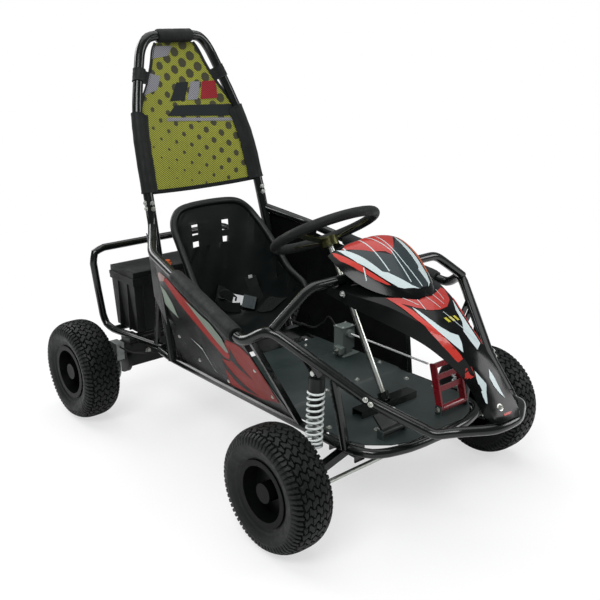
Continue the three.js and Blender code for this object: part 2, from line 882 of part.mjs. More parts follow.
function headrestMesh() {
  const rows = meshShares.map(([along, width]) => {
    const edge = hoopPath.getPointAt(along);
    return [1, 0.5, 0, -0.5, -1].map((share) => {
      const sag = meshSheet * 3 * (1 - share * share);
      return vector(share * edge.x * width, edge.y + sag, edge.z);
    });
  });
  const topPoint = hoopPath.getPointAt(0.5);
  const topHeight = topPoint.z - hoopPadRadius - meshSheet;
  rows.push([1, 0.5, 0, -0.5, -1].map((share) => vector(share * hoopPadHalf, topPoint.y, topHeight)));
  const sleeve = tube(hoopPart(meshBottomShare, sleeveTopShare), hoopTubeRadius + sleeveSheet);
  const band = tube(hoopPart(strapShares[0], strapShares[1]), hoopTubeRadius + sleeveSheet);
  const low = hoopPath.getPointAt(strapShares[0]);
  const high = hoopPath.getPointAt(strapShares[1]);
  const tabTop = high.z;
  const tab = box(
    low.x * 0.6,
    low.y - meshSheet,
    low.z,
    low.x - hoopTubeRadius / 2,
    high.y + meshSheet,
    tabTop,
  );
  const padSpace = rod(
    topPoint.clone().setX(-hoopPadHalf - clearance),
    topPoint.clone().setX(hoopPadHalf + clearance),
    hoopPadRadius + clearance,
    hoopPadSides,
  );
  return cut(join(sheet(rows, meshSheet), bothSides(join(sleeve, band, tab))), fatHoop, padSpace);
}

function hoopPad() {
  const top = hoopPath.getPointAt(0.5);
  const pad = rod(
    vector(-hoopPadHalf, top.y, top.z),
    vector(hoopPadHalf, top.y, top.z),
    hoopPadRadius,
    hoopPadSides,
  );
  return cut(pad, fatHoop);
}

// Foam pad on the straight run of the side tube, cut away round the left strut.
const leftStrutSpace = bar(...leftStrut, strutWidth + clearance * 2);
const padShares = [0.08, 0.93];
function armPad() {
  return cut(rod(alongPad(padShares[0]), alongPad(padShares[1]), padRadius), fatSide);
}

// Side panel, stretched between the side tube and the lower rail.
const panelShares = [
  [0.02, 0.66],
  [0.1, 0.68],
  [0.3, 0.52],
  [0.5, 0.39],
];
const rightFrontShares = [
  [0.7, 0.27],
  [0.9, 0.155],
  [0.97, 0.118],
];
const leftFrontShares = [
  [0.62, 0.27],
  [0.69, 0.19],
  [0.71, 0.155],
];
const panelBulge = 8;

function sidePanel(frontShares, strut) {
  const grid = [...panelShares, ...frontShares].map(([along, back]) => {
    const top = alongPad(along);
    const bottom = vector(railHalf, back * wheelbase, railHeight);
    return [0, 0.33, 0.67, 1].map((share) => {
      const point = top.clone().lerp(bottom, share);
      point.x += panelBulge * 4 * share * (1 - share);
      return point;
    });
  });
  const padSpace = rod(
    alongPad(padShares[0] - 0.001),
    alongPad(padShares[1] + 0.001),
    padRadius + clearance,
  );
  const strutSpace = bar(...strut, strutWidth + clearance * 2);
  return cut(sheet(grid, panelSheet), fatSide, fatLoop, padSpace, strutSpace, fatLeg);
}

// Nose cone: rows run from the dash to the tip, each an arch of crown, crease and flank.
// Columns: place behind the front axle, crown height, half width, crease height, flank height.
const noseShares = [
  [0.09, 1.0469, 0.37, 0.954, 0.91],
  [0.02, 1.016, 0.345, 0.9324, 0.862],
  [-0.078, 0.9385, 0.262, 0.8952, 0.7806],
  [-0.146, 0.8549, 0.195, 0.8302, 0.7125],
  [-0.188, 0.793, 0.152, 0.776, 0.6537],
  [-0.26, 0.6722, 0.105, 0.6567, 0.5267],
  [-0.302, 0.5608, 0.105, 0.5453, 0.4245],
  [-0.337, 0.4307, 0.122, 0.4152, 0.3378],
  [-0.362, 0.3502, 0.115, 0.3409, 0.3208],
  [-0.376, 0.3223, 0.08, 0.3192, 0.3099],
];
const archShares = [
  [-1.06, 2],
  [-1, 1],
  [-0.6, 0.35],
  [0, 0],
  [0.6, 0.35],
  [1, 1],
  [1.06, 2],
];

function noseGrid(offset) {
  return noseShares.map(([back, crown, half, crease, flank]) =>
    archShares.map(([across, drop]) => {
      const share = drop <= 1 ? THREE.MathUtils.lerp(crown, crease, drop) : flank;
      const side = across * half * halfTrack + Math.sign(across) * offset;
      return vector(side, back * wheelbase, overRails(share) + offset);
    }),
  );
}

function noseCone() {
  return cut(
    sheet(noseGrid(0), panelSheet),
    fatDash,
    fatBumper,
    bothSides(fatSide),
    columnBore(columnRadius * 1.4),
  );
}

// Raised hood over the dash: crown, rim half width and rim height along the centre line.
const hoodShares = [
  [0.108, 1.2111, 0.33, 1.1398],
  [0.085, 1.2296, 0.337, 1.1027],
  [0.035, 1.1956, 0.325, 1.0345],
  [-0.015, 1.112, 0.27, 0.9726],
  [-0.055, 1.0345, 0.2, 0.9416],
  [-0.085, 0.9695, 0.125, 0.9231],
  [-0.101, 0.9293, 0.06, 0.9138],
];

function hood() {
  const columns = [-1, -0.82, -0.45, 0, 0.45, 0.82, 1];
  const grid = hoodShares.map(([back, crown, half, rim]) =>
    columns.map((share) => {
      const rise = (1 - share * share) ** 0.75;
      const bow = back > 0.09 ? share * share * 0.006 : 0;
      return vector(
        share * half * halfTrack,
        (back + bow) * wheelbase,
        overRails(THREE.MathUtils.lerp(rim, crown, rise)),
      );
    }),
  );
  const below = sheet(noseGrid(clearance), panelSheet * 8);
  return cut(sheet(grid, panelSheet), below);
}

// Battery box behind the seat, its hinged lid and the cells inside.
const boxBottom = trayTop + clearance;
const boxTop = boxBottom + boxTall;
const ribShares = [-0.85, -0.4, 0.4, 0.85];

// A box whose bottom face is drawn in on three sides.
function tapered(half, front, low, rear, high) {
  const geometry = new THREE.BoxGeometry(half * 2, rear - front, high - low);
  geometry.translate(0, (front + rear) / 2, (low + high) / 2);
  const place = geometry.attributes.position;
  for (let i = 0; i < place.count; i += 1) {
    if (place.getZ(i) > (low + high) / 2) continue;
    place.setX(i, place.getX(i) - Math.sign(place.getX(i)) * boxTaper);
    if (place.getY(i) < (front + rear) / 2) place.setY(i, place.getY(i) + boxTaper);
  }
  return toSolid(geometry);
}

function batteryBox() {
  const shell = tapered(boxHalf, boxFront, boxBottom, boxRear, boxTop);
  const hollow = tapered(
    boxHalf - boxWall,
    boxFront + boxWall,
    boxBottom + boxWall,
    boxRear - boxWall,
    boxTop + overrun,
  );
  const flange = box(
    -boxHalf - lidLip,
    boxFront - lidLip,
    boxTop - lidLip * 2,
    boxHalf + lidLip,
    boxRear,
    boxTop,
  );
  const ribHalf = boxWall / 2;
  const rib = (across) =>
    box(
      across - ribHalf,
      boxFront - boxWall,
      boxBottom + boxWall,
      across + ribHalf,
      boxFront + boxWall * 2,
      boxTop,
    );
  const endRib = (back) =>
    box(
      boxHalf - boxWall * 3,
      back - ribHalf,
      boxBottom + boxWall,
      boxHalf + boxWall / 2,
      back + ribHalf,
      boxTop,
    );
  const middle = (boxFront + boxRear) / 2;
  const ribs = [
    ...ribShares.map((share) => rib(share * boxHalf)),
    ...ribShares.slice(1, -1).map((share) => bothSides(endRib(middle + (share * boxDepth) / 2))),
  ];
  return cut(join(shell, flange, ...ribs), hollow);
}

function batteryLid() {
  const low = boxTop + clearance;
  const grid = [0, 0.12, 0.5, 0.88, 1].map((back) =>
    [1, 0.93, 0, -0.93, -1].map((across) => {
      const crown = (1 - Math.abs(2 * back - 1) ** 4) * (1 - across ** 8);
      const y = THREE.MathUtils.lerp(boxFront - boxWall / 2, boxRear, back);
      return vector(across * (boxHalf + boxWall / 2), y, low + lidHeight * (0.72 + 0.28 * crown));
    }),
  );
  const cap = sheet(grid, boxWall);
  const lip = box(
    -boxHalf - lidLip,
    boxFront - lidLip,
    low,
    boxHalf + lidLip,
    boxRear + lidLip / 2,
    low + lidLip * 2,
  );
  const wall = box(
    -boxHalf - boxWall / 2,
    boxFront - boxWall / 2,
    low,
    boxHalf + boxWall / 2,
    boxRear,
    low + lidHeight * 0.75,
  );
  const hollow = box(
    boxWall - boxHalf,
    boxFront + boxWall,
    low - overrun,
    boxHalf - boxWall,
    boxRear - boxWall,
    low + lidHeight,
  );
  const latchHalf = slotWidth / 2;
  const latch = (across) =>
    box(
      across - latchHalf,
      boxFront - lidLip * 1.8,
      low - lidLip * 3,
      across + latchHalf,
      boxFront - lidLip - clearance,
      low + lidLip * 3,
    );
  const hook = (across) =>
    box(
      across - latchHalf,
      boxFront - lidLip * 1.8,
      low + lidLip * 2,
      across + latchHalf,
      boxFront,
      low + lidLip * 3,
    );
  const latches = [-0.7, 0.7].flatMap((share) => [latch(share * boxHalf), hook(share * boxHalf)]);
  return join(cap, cut(join(lip, wall), hollow), ...latches);
}

function batteryCells() {
  const low = boxBottom + boxWall + clearance;
  const half = boxHalf - boxWall - boxTaper - cellGap;
  const front = boxFront + boxWall + boxTaper + cellGap;
  const rear = boxRear - boxWall - cellGap;
  const block = box(-half, front, low, half, rear, low + cellHeight);
  const groove = (across) =>
    box(
      across - cellGap / 4,
      front - overrun,
      low + cellGap,
      across + cellGap / 4,
      rear + overrun,
      low + cellHeight * 2,
    );
  return cut(block, ...[-half / 2, 0, half / 2].map(groove));
}

// Rear axle carrier: a box beam with flange bearings, hung from the guard's bars, and the motor plate.
function axleCarrier() {
  const rear = carrierFront + carrierDepth;
  const top = carrierBottom + carrierHeight;
  const beam = cut(
    box(-carrierHalf, carrierFront, carrierBottom, carrierHalf, rear, top),
    box(
      carrierWall - carrierHalf,
      carrierFront + carrierWall,
      carrierBottom + carrierWall,
      carrierHalf - carrierWall,
      rear - carrierWall,
      top - carrierWall,
    ),
  );
  const flange = rod(
    vector(carrierHalf - carrierWall / 2, wheelbase, axleHeight),
    vector(carrierHalf + flangeSheet, wheelbase, axleHeight),
    flangeRadius,
    20,
  );
  const hangerBack = (carrierFront + rear) / 2;
  const bar0 = guardPoint(hangerBack);
  const hanger = box(
    bar0.x - lowerTubeRadius * 3,
    carrierFront + carrierWall,
    top - carrierWall / 2,
    bar0.x + lowerTubeRadius / 2,
    rear - carrierWall,
    bar0.z - lowerTubeRadius / 2,
  );
  const motorPlate = box(
    motorInner - carrierWall,
    motorBack - motorRadius,
    carrierBottom,
    motorInner + motorLength + carrierWall,
    carrierFront + carrierWall,
    carrierBottom + carrierWall,
  );
  const caliperArm = box(
    -chainLine + discSheet / 2 + clearance * 2 + jawDepth,
    caliperBack - caliperDepth / 4,
    top - carrierWall * 3,
    -carrierHalf + carrierWall,
    caliperBack + caliperDepth / 2,
    top,
  );
  const axleHole = bore(
    vector(-halfTrack, wheelbase, axleHeight),
    vector(halfTrack, wheelbase, axleHeight),
    axleRadius,
  );
  return cut(join(beam, bothSides(flange), bothSides(hanger), motorPlate, caliperArm), axleHole, fatGuard);
}

const motorInner = 62;
const motorHeight = carrierBottom + carrierWall + clearance + motorRadius;
const caliperBack = wheelbase - discRadius * 0.72;
const caliperLow = carrierBottom + carrierHeight + carrierWall;
const jawDepth = caliperDepth / 4;

function motor() {
  const end = motorInner + motorLength;
  const profileRadius = motorRadius;
  const body = rod(
    vector(motorInner, motorBack, motorHeight),
    vector(end, motorBack, motorHeight),
    profileRadius,
    24,
  );
  const foot = box(
    motorInner + carrierWall,
    motorBack - motorRadius * 0.7,
    motorHeight - motorRadius,
    end - carrierWall,
    motorBack + motorRadius * 0.7,
    motorHeight - motorRadius / 2,
  );
  const shaftHole = bore(
    vector(end - overrun, motorBack, motorHeight),
    vector(end + overrun, motorBack, motorHeight),
    kingpinRadius,
  );
  return cut(join(body, foot), shaftHole);
}

function toothedWheel(teeth, boreRadius) {
  const pitchRadius = (teeth * chainPitch) / (2 * Math.PI);
  const outline = [];
  for (let i = 0; i < teeth; i += 1) {
    for (const [turn, rise] of [[0, -1], [0.5, 1]]) {
      const angle = ((i + turn) * 2 * Math.PI) / teeth;
      const radius = pitchRadius + (rise * toothHeight) / 2;
      outline.push(new THREE.Vector2(radius * Math.cos(angle), radius * Math.sin(angle)));
    }
  }
  const shape = new THREE.Shape(outline);
  shape.holes.push(new THREE.Path(circlePoints(boreRadius, tubeSides)));
  const geometry = new THREE.ExtrudeGeometry(shape, { depth: sprocketSheet, bevelEnabled: false });
  geometry.translate(0, 0, -sprocketSheet / 2);
  geometry.rotateY(Math.PI / 2);
  return geometry;
}

function axleSprocket() {
  const wheel = toSolid(toothedWheel(axleTeeth, axleRadius / 2).translate(chainLine, wheelbase, axleHeight));
  const hub = rod(
    vector(chainLine - chainWidth * 2, wheelbase, axleHeight),
    vector(chainLine + chainWidth, wheelbase, axleHeight),
    axleRadius * 2,
    16,
  );
  const holes = Array.from({ length: 5 }, (_, i) => {
    const angle = (i * 2 * Math.PI) / 5;
    const y = wheelbase + discRadius * 0.5 * Math.cos(angle);
    const z = axleHeight + discRadius * 0.5 * Math.sin(angle);
    return rod(vector(0, y, z), vector(halfTrack, y, z), axleRadius * 0.8);
  });
  return join(cut(wheel, ...holes), hub);
}

function motorSprocket() {
  const geometry = toothedWheel(motorTeeth, kingpinRadius / 2).translate(chainLine, motorBack, motorHeight);
  const shaft = rod(
    vector(motorInner + motorLength - overrun + clearance, motorBack, motorHeight),
    vector(chainLine + chainWidth, motorBack, motorHeight),
    kingpinRadius,
  );
  return join(toSolid(geometry), shaft);
}

// The chain is a band round both sprockets, clear of their tooth tips.
function chain() {
  const radii = [axleTeeth, motorTeeth].map((teeth) => (teeth * chainPitch) / (2 * Math.PI) + toothHeight / 2);
  const loop = (extra) => {
    const back = new THREE.Vector2(wheelbase, axleHeight);
    const front = new THREE.Vector2(motorBack, motorHeight);
    const line = front.clone().sub(back);
    const lean = Math.acos((radii[0] - radii[1]) / line.length());
    const points = [];
    const arc = (centre, radius, from, to, count) => {
      for (let i = 0; i <= count; i += 1) {
        const angle = THREE.MathUtils.lerp(from, to, i / count);
        const reach = radius / Math.cos(Math.abs(to - from) / count / 2);
        points.push(new THREE.Vector2(centre.x + reach * Math.cos(angle), centre.y + reach * Math.sin(angle)));
      }
    };
    arc(back, radii[0] + extra, line.angle() + lean, line.angle() + 2 * Math.PI - lean, 16);
    arc(front, radii[1] + extra, line.angle() - lean, line.angle() + lean, 6);
    return points;
  };
  const shape = new THREE.Shape(loop(clearance * 2 + chainHeight));
  shape.holes.push(new THREE.Path(loop(clearance * 2)));
  const geometry = new THREE.ExtrudeGeometry(shape, { depth: chainWidth, bevelEnabled: false });
  geometry.rotateY(Math.PI / 2);
  geometry.rotateX(Math.PI / 2);
  geometry.translate(chainLine - chainWidth / 2, 0, 0);
  return toSolid(geometry);
}

// Rear axle with the brake disc and the chain sprocket fixed on it.
function rearAxle() {
  const reach = halfTrack + hubBoreDepth - clearance;
  const shaft = rod(vector(-reach, wheelbase, axleHeight), vector(reach, wheelbase, axleHeight), axleRadius);
  const disc = rod(
    vector(-chainLine - discSheet / 2, wheelbase, axleHeight),
    vector(discSheet / 2 - chainLine, wheelbase, axleHeight),
    discRadius,
    24,
  );
  const carrier = rod(
    vector(-chainLine - discSheet * 3, wheelbase, axleHeight),
    vector(-chainLine + discSheet * 4, wheelbase, axleHeight),
    axleRadius * 2,
    16,
  );
  return join(shaft, disc, carrier, axleSprocket());
}

function brakeCaliper() {
  const half = caliperDepth / 2;
  const reach = discSheet / 2 + clearance + jawDepth;
  const whole = box(
    -chainLine - reach,
    caliperBack - half,
    axleHeight + discRadius * 0.35,
    reach - chainLine,
    caliperBack + half,
    caliperLow + half,
  );
  const discSpace = rod(
    vector(-chainLine - discSheet / 2 - clearance, wheelbase, axleHeight),
    vector(discSheet / 2 + clearance - chainLine, wheelbase, axleHeight),
    discRadius + clearance * 2,
    24,
  );
  return cut(whole, discSpace);
}

// Brake pedal, its rod, the master cylinder and the hose to the caliper.
const pedalPoint = (across, rise) =>
  vector(across, pedalPivotBack + pedalLean * rise, pedalPivotHeight + pedalHeight * rise);

function brakePedal() {
  const lean = vector(0, pedalHeight, -pedalLean);
  const upright = (across) => bar(
    pedalPoint(across, 0),
    pedalPoint(across, 1),
    pedalSheet,
    pedalBar * 1.5,
    lean,
  );
  const rung = (rise) => {
    const from = pedalPoint(pedalInner, rise);
    return bar(from, pedalPoint(pedalOuter, rise), pedalBar, pedalSheet, lean);
  };
  const pivot = rod(
    vector(pedalInner, pedalPivotBack, pedalPivotHeight),
    vector(pedalOuter, pedalPivotBack, pedalPivotHeight),
    pedalTubeRadius,
  );
  const pedal = join(
    upright(pedalInner + pedalSheet / 2),
    upright(pedalOuter - pedalSheet / 2),
    ...[0.42, 0.68, 0.94].map(rung),
    pivot,
  );
  const pinHole = bore(
    vector(pedalInner - overrun, pedalPivotBack, pedalPivotHeight),
    vector(pedalOuter + overrun, pedalPivotBack, pedalPivotHeight),
    pedalPinRadius,
  );
  return cut(pedal, pinHole);
}

const pushrodFront = pedalPoint(pedalInner, 0.97).add(vector(0, pedalBar * 0.75 + pushrodRadius * 2, 0));
const masterBack = floorStepEndShare * wheelbase - masterDepth * 0.71;
const masterFront = masterBack - masterDepth / 2;
const pushrodRear = vector(masterHalf, masterFront, floorTop + floorRise + masterHeight);
const pushrodRun = pushrodRear.clone().sub(pushrodFront).normalize();

function brakePushrod() {
  const rear = pushrodRear.clone().addScaledVector(pushrodRun, masterDepth * 0.5);
  return rod(pushrodFront, rear, pushrodRadius, 8);
}

function masterCylinder() {
  const base = floorTop + floorRise + clearance;
  const low = base + masterFoot;
  const foot = box(
    masterHalf - masterWidth / 4,
    masterFront,
    base,
    masterHalf + masterWidth / 4,
    masterFront + masterDepth,
    low + masterFoot / 2,
  );
  const block = box(
    masterHalf - masterWidth / 2,
    masterFront,
    low,
    masterHalf + masterWidth / 2,
    masterFront + masterDepth,
    low + masterHeight,
  );
  const barrel = rod(
    pushrodRear.clone().addScaledVector(pushrodRun, -masterDepth * 0.45),
    pushrodRear.clone().addScaledVector(pushrodRun, masterDepth * 0.6),
    masterWidth / 4,
  );
  const rodHole = bore(
    pushrodRear.clone().addScaledVector(pushrodRun, -masterDepth),
    pushrodRear.clone().addScaledVector(pushrodRun, masterDepth * 0.55),
    pushrodRadius,
  );
  return cut(join(block, foot, barrel), rodHole);
}

// The hose keeps the route chosen here, point by point.
const hoseRoute = [
  [178, 402.8, 305],
  [178, 416, 306],
  [184, 436, 340],
  [192, 470, 352],
  [204, 510, 320],
  [211, 560, 288],
  [211, 600, 282],
  [211, 640, 281],
  [211, 700, 281],
  [200, 770, 279],
  [188, 812, 264],
  [184, 850, 260],
  [178, 868, 240],
  [150, 866, 224],
  [60, 866, 223],
  [-60, 866, 223],
  [-180, 866, 223],
  [-240, 872, 222],
  [-290, 905, 226],
  [-300, 935, 231],
];

function brakeHose() {
  const points = hoseRoute.map(([x, y, z]) => vector(x, y, z));
  const end = vector(-chainLine, caliperBack - caliperDepth / 2 - clearance, caliperLow + caliperDepth * 0.22);
  points.push(end.clone().setY(end.y - hoseRadius * 3), end);
  return sweep(circlePoints(hoseRadius, 6), new THREE.CatmullRomCurve3(points), 40);
}

function throttlePedal() {
  const foot = vector(0, pedalPivotBack, pedalPivotHeight);
  const lean = Math.PI / 4.2;
  const tip = foot.clone().add(vector(0, throttleLength * Math.cos(lean), throttleLength * Math.sin(lean)));
  const middle = -(throttleInner + throttleOuter) / 2;
  const width = throttleOuter - throttleInner;
  const facing = vector(0, -Math.sin(lean), Math.cos(lean));
  const plate = bar(foot.clone().setX(middle), tip.clone().setX(middle), width * 0.8, pedalSheet, facing);
  const pivot = rod(
    vector(-throttleOuter, pedalPivotBack, pedalPivotHeight),
    vector(-throttleInner, pedalPivotBack, pedalPivotHeight),
    pedalTubeRadius,
  );
  const pinHole = bore(
    vector(-throttleOuter - overrun, pedalPivotBack, pedalPivotHeight),
    vector(overrun - throttleInner, pedalPivotBack, pedalPivotHeight),
    pedalPinRadius,
  );
  return cut(join(plate, pivot), pinHole);
}

// Steering wheel: the padded ring, three plate spokes and the hub.
function steeringWheel() {
  const centre = columnPoint(wheelDistance);
  const ring = new THREE.TorusGeometry(wheelRingRadius, wheelTubeRadius, 7, 24);
  ring.rotateX(columnAngle - Math.PI / 2);
  ring.translate(centre.x, centre.y, centre.z);
  const middle = wheelDistance - wheelHubDrop;
  const hub = rod(
    columnPoint(middle - wheelHubRadius / 2),
    columnPoint(middle + wheelHubRadius / 2),
    wheelHubRadius,
    16,
  );
  const spokes = spokeTurns.map((turn) => {
    const forward = wheelRingRadius * Math.cos(turn);
    const end = columnPoint(wheelDistance, forward, wheelRingRadius * Math.sin(turn));
    return bar(columnPoint(middle), end, wheelHubRadius * 1.1, panelSheet * 1.5, columnUp);
  });
  return cut(join(toSolid(ring), hub, ...spokes), columnBore());
}
const spokeTurns = [Math.PI, Math.PI / 2.4, -Math.PI / 2.4];

// Column shaft with the pitman plate at its foot.
const pitmanPin = (side) => columnPoint(-columnBelow, pitmanReach, side * pitmanSpread);

function steeringShaft() {
  const shaft = rod(
    columnPoint(-columnBelow - pivotPlate / 2),
    columnPoint(wheelDistance - wheelHubDrop),
    columnRadius,
  );
  const plate = bar(
    columnPoint(-columnBelow, -columnRadius * 1.4),
    columnPoint(-columnBelow, pitmanReach + columnRadius * 1.2),
    (pitmanSpread + columnRadius) * 2,
    pivotPlate,
    columnUp,
  );
  const stop = rod(columnPoint(-columnBelow), columnPoint(columnRadius / 4 - columnRadius * 1.5), columnRadius);
  return join(shaft, plate, stop);
}

// Inner rod ends sit on the pitman plate and the tie rods reach out to the steering arms.
const rodEndRadius = 9.5;
const eyePinRadius = 3.5;
const eyeRoom = 3.4;
const eyeRingRadius = 11;
const jointLift = pivotPlate / 2 + clearance + rodEndRadius * 0.8;
const rodEnd = (side) => pitmanPin(side).addScaledVector(columnUp, jointLift);
const steerArmBack = -steerArmReach;
const outerEnd = (side) => vector(side * (kingpinHalf + barrelRadius), steerArmBack, tieRodHeight);

function tieRodJoint() {
  const centre = rodEnd(1);
  const low = centre.clone().addScaledVector(columnUp, -rodEndRadius * 0.8);
  const high = centre.clone().addScaledVector(columnUp, rodEndRadius * 0.8);
  const run = outerEnd(1).sub(centre).normalize();
  const pin = rod(centre, centre.clone().addScaledVector(run, rodEndRadius * 2.2), tieRodRadius * 0.6);
  return join(rod(low, high, rodEndRadius * 0.9), pin);
}

function tieRod() {
  const run = outerEnd(1).sub(rodEnd(1)).normalize();
  const from = rodEnd(1).addScaledVector(run, rodEndRadius * 1.3);
  const eye = outerEnd(1);
  const to = eye.clone().addScaledVector(run, -rodEndRadius * 0.5);
  const socket = bore(rodEnd(1), rodEnd(1).addScaledVector(run, rodEndRadius * 2.4), tieRodRadius * 0.72);
  const ring = rod(
    eye.clone().setZ(eye.z - rodEndRadius * 0.6),
    eye.clone().setZ(eye.z + rodEndRadius * 0.6),
    eyeRingRadius,
  );
  const hole = bore(
    eye.clone().setZ(eye.z - overrun),
    eye.clone().setZ(eye.z + overrun),
    eyePinRadius + eyeRoom,
  );
  return cut(join(rod(from, to, tieRodRadius), ring), socket, hole);
}

// Suspension arm: pivot bush, square tube and the yoke that holds the kingpin.
const yokeLow = axleHeight - yokeHeight / 2;
const yokeHigh = axleHeight + yokeHeight / 2;

function frontArm() {
  const bush = rod(
    vector(armPivotHalf, -armBushHalf, armPivotHeight),
    vector(armPivotHalf, armBushHalf, armPivotHeight),
    armBushRadius,
  );
  const yokeInner = kingpinHalf - barrelRadius - clearance * 4;
  const spineHalf = barrelRadius * 0.66;
  const spine = box(
    yokeInner - pivotPlate,
    -spineHalf,
    yokeLow - yokePlate,
    yokeInner,
    spineHalf,
    yokeHigh + yokePlate,
  );
  const plate = (low) =>
    box(yokeInner - pivotPlate, -barrelRadius, low, kingpinHalf + barrelRadius, barrelRadius, low + yokePlate);
  const tubeEnd = vector(yokeInner - pivotPlate / 2, 0, axleHeight - yokeHeight * 0.24);
  const beam = bar(vector(armPivotHalf, 0, armPivotHeight), tubeEnd, armTube);
  const pinLine = rod(
    vector(kingpinHalf, 0, yokeLow - yokePlate),
    vector(kingpinHalf, 0, yokeHigh + yokePlate),
    kingpinRadius,
  );
  const lugInner = shockEyeRadius * 0.7 + clearance;
  const shockLug = box(
    shockHalf - shockEyeRadius,
    lugInner,
    axleHeight - armTube / 2,
    shockHalf + shockEyeRadius * 0.8,
    lugInner + yokePlate,
    lowerEyeHeight + shockEyeRadius,
  );
  const shockPin = rod(
    vector(shockHalf, -lugInner - yokePlate, lowerEyeHeight),
    vector(shockHalf, lugInner + yokePlate, lowerEyeHeight),
    shockPinRadius,
  );
  const pinHole = bore(
    vector(armPivotHalf, -armBushHalf - overrun, armPivotHeight),
    vector(armPivotHalf, armBushHalf + overrun, armPivotHeight),
    kingpinRadius,
  );
  const lugs = join(shockLug, mirrorY(shockLug), shockPin);
  const eyeSpace = rod(
    vector(shockHalf, -lugInner, lowerEyeHeight),
    vector(shockHalf, lugInner, lowerEyeHeight),
    shockEyeRadius + clearance * 2,
  );
  const arm = cut(join(bush, beam), pinHole, eyeSpace);
  return join(arm, spine, plate(yokeLow - yokePlate), plate(yokeHigh), pinLine, lugs);
}

// Knuckle: barrel on the kingpin, stub axle and the steering arm.
function knuckle() {
  const barrel = rod(
    vector(kingpinHalf, 0, yokeLow + clearance),
    vector(kingpinHalf, 0, yokeHigh - clearance),
    barrelRadius,
    16,
  );
  const stub = rod(
    vector(kingpinHalf, 0, axleHeight),
    vector(halfTrack + hubBoreDepth - clearance, 0, axleHeight),
    axleRadius - clearance,
  );
  const armTop = tieRodHeight - rodEndRadius * 0.6 - eyeRoom * 1.6;
  const eye = outerEnd(1);
  const arm = join(
    bar(
      vector(kingpinHalf, 0, armTop - yokePlate / 2),
      vector(eye.x, steerArmBack - rodEndRadius, armTop - yokePlate / 2),
      barrelRadius,
      yokePlate,
    ),
    rod(
      vector(eye.x, eye.y, armTop - yokePlate / 2),
      vector(eye.x, eye.y, tieRodHeight + rodEndRadius * 0.6 + eyeRoom),
      eyePinRadius,
    ),
  );
  const pinHole = bore(
    vector(kingpinHalf, 0, yokeLow - overrun),
    vector(kingpinHalf, 0, yokeHigh + overrun),
    kingpinRadius,
  );
  return cut(join(barrel, stub, arm), pinHole);
}

// Shock absorber: upper body, rod with the lower eye and the coil spring between them.
const shockPoint = (height) => {
  const share = (height - lowerEyeHeight) / (shockTop - lowerEyeHeight);
  return vector(shockHalf - shockLean * share, 0, height);
};
const shockRun = shockPoint(shockTop).sub(shockPoint(lowerEyeHeight)).normalize();

function shockBody() {
  const eye = rod(
    shockPoint(shockTop).setY(-shockEyeRadius * 0.7),
    shockPoint(shockTop).setY(shockEyeRadius * 0.7),
    shockEyeRadius,
  );
  const cap = rod(shockPoint(springTop + clearance), shockPoint(shockTop - shockEyeRadius), shockCapRadius, 16);
  const cylinder = rod(
    shockPoint(springTop - springLength * 0.45),
    shockPoint(shockTop - shockEyeRadius),
    shockBodyRadius,
    16,
  );
  const stem = rod(shockPoint(shockTop), shockPoint(shockTop - shockEyeRadius * 2), shockEyeRadius * 0.7);
  const rodHole = bore(
    shockPoint(springLow),
    shockPoint(shockTop - shockEyeRadius * 1.6),
    shockRodRadius,
  );
  return cut(join(eye, cap, cylinder, stem), rodHole, eyeBore(shockTop));
}

function shockRod() {
  const stem = rod(
    shockPoint(lowerEyeHeight),
    shockPoint(springTop - springLength * 0.3),
    shockRodRadius,
  );
  const seatPlate = rod(
    shockPoint(springLow - clearance - yokePlate),
    shockPoint(springLow - clearance),
    shockCapRadius + springWire,
    16,
  );
  const sleeve = rod(shockPoint(lowerEyeHeight), shockPoint(springLow), shockEyeRadius * 0.66);
  const eye = rod(
    shockPoint(lowerEyeHeight).setY(-shockEyeRadius * 0.7),
    shockPoint(lowerEyeHeight).setY(shockEyeRadius * 0.7),
    shockEyeRadius,
  );
  return cut(join(stem, seatPlate, sleeve, eye), eyeBore(lowerEyeHeight));
}

function eyeBore(height) {
  const from = shockPoint(height).setY(-shockEyeRadius);
  return bore(from, from.clone().setY(shockEyeRadius), shockPinRadius);
}

// The spring is one unbroken wire, close wound at both ends.
class SpringCurve extends THREE.Curve {
  getPoint(share, target = new THREE.Vector3()) {
    const angle = share * springTurns * 2 * Math.PI;
    const closed = springWire * 2 + springGap;
    const endTurns = 1;
    const turns = share * springTurns;
    const openPitch = (springLength - springWire * 2 - closed * 2 * endTurns) / (springTurns - 2 * endTurns);
    const low = Math.min(turns, endTurns) * closed;
    const middle = Math.min(Math.max(turns - endTurns, 0), springTurns - 2 * endTurns) * openPitch;
    const high = Math.max(turns - (springTurns - endTurns), 0) * closed;
    return target.set(
      springRadius * Math.cos(angle),
      springRadius * Math.sin(angle),
      springWire + low + middle + high,
    );
  }
}
const springGap = 1;
const springStepsPerTurn = 8;

function springSolid() {
  const curve = new SpringCurve();
  curve.arcLengthDivisions = springTurns * springStepsPerTurn * 4;
  const solid = sweep(circlePoints(springWire, 5), curve, springTurns * springStepsPerTurn);
  const turn = new THREE.Quaternion().setFromUnitVectors(new THREE.Vector3(0, 0, 1), shockRun);
  return moved(solid, new THREE.Matrix4().makeRotationFromQuaternion(turn).setPosition(shockPoint(springLow)));
}

// Least gap between two turns of the spring, measured on points of its centre line.
function springSelfGap() {
  const curve = new SpringCurve();
  const count = springTurns * springStepsPerTurn * 4;
  const points = Array.from({ length: count + 1 }, (_, i) => curve.getPoint(i / count));
  let least = springLength;
  const apart = springStepsPerTurn * 2;
  for (let i = 0; i < points.length; i += 1) {
    for (let j = i + apart; j < points.length; j += 1) least = Math.min(least, points[i].distanceTo(points[j]));
  }
  return least - springWire * 2;
}

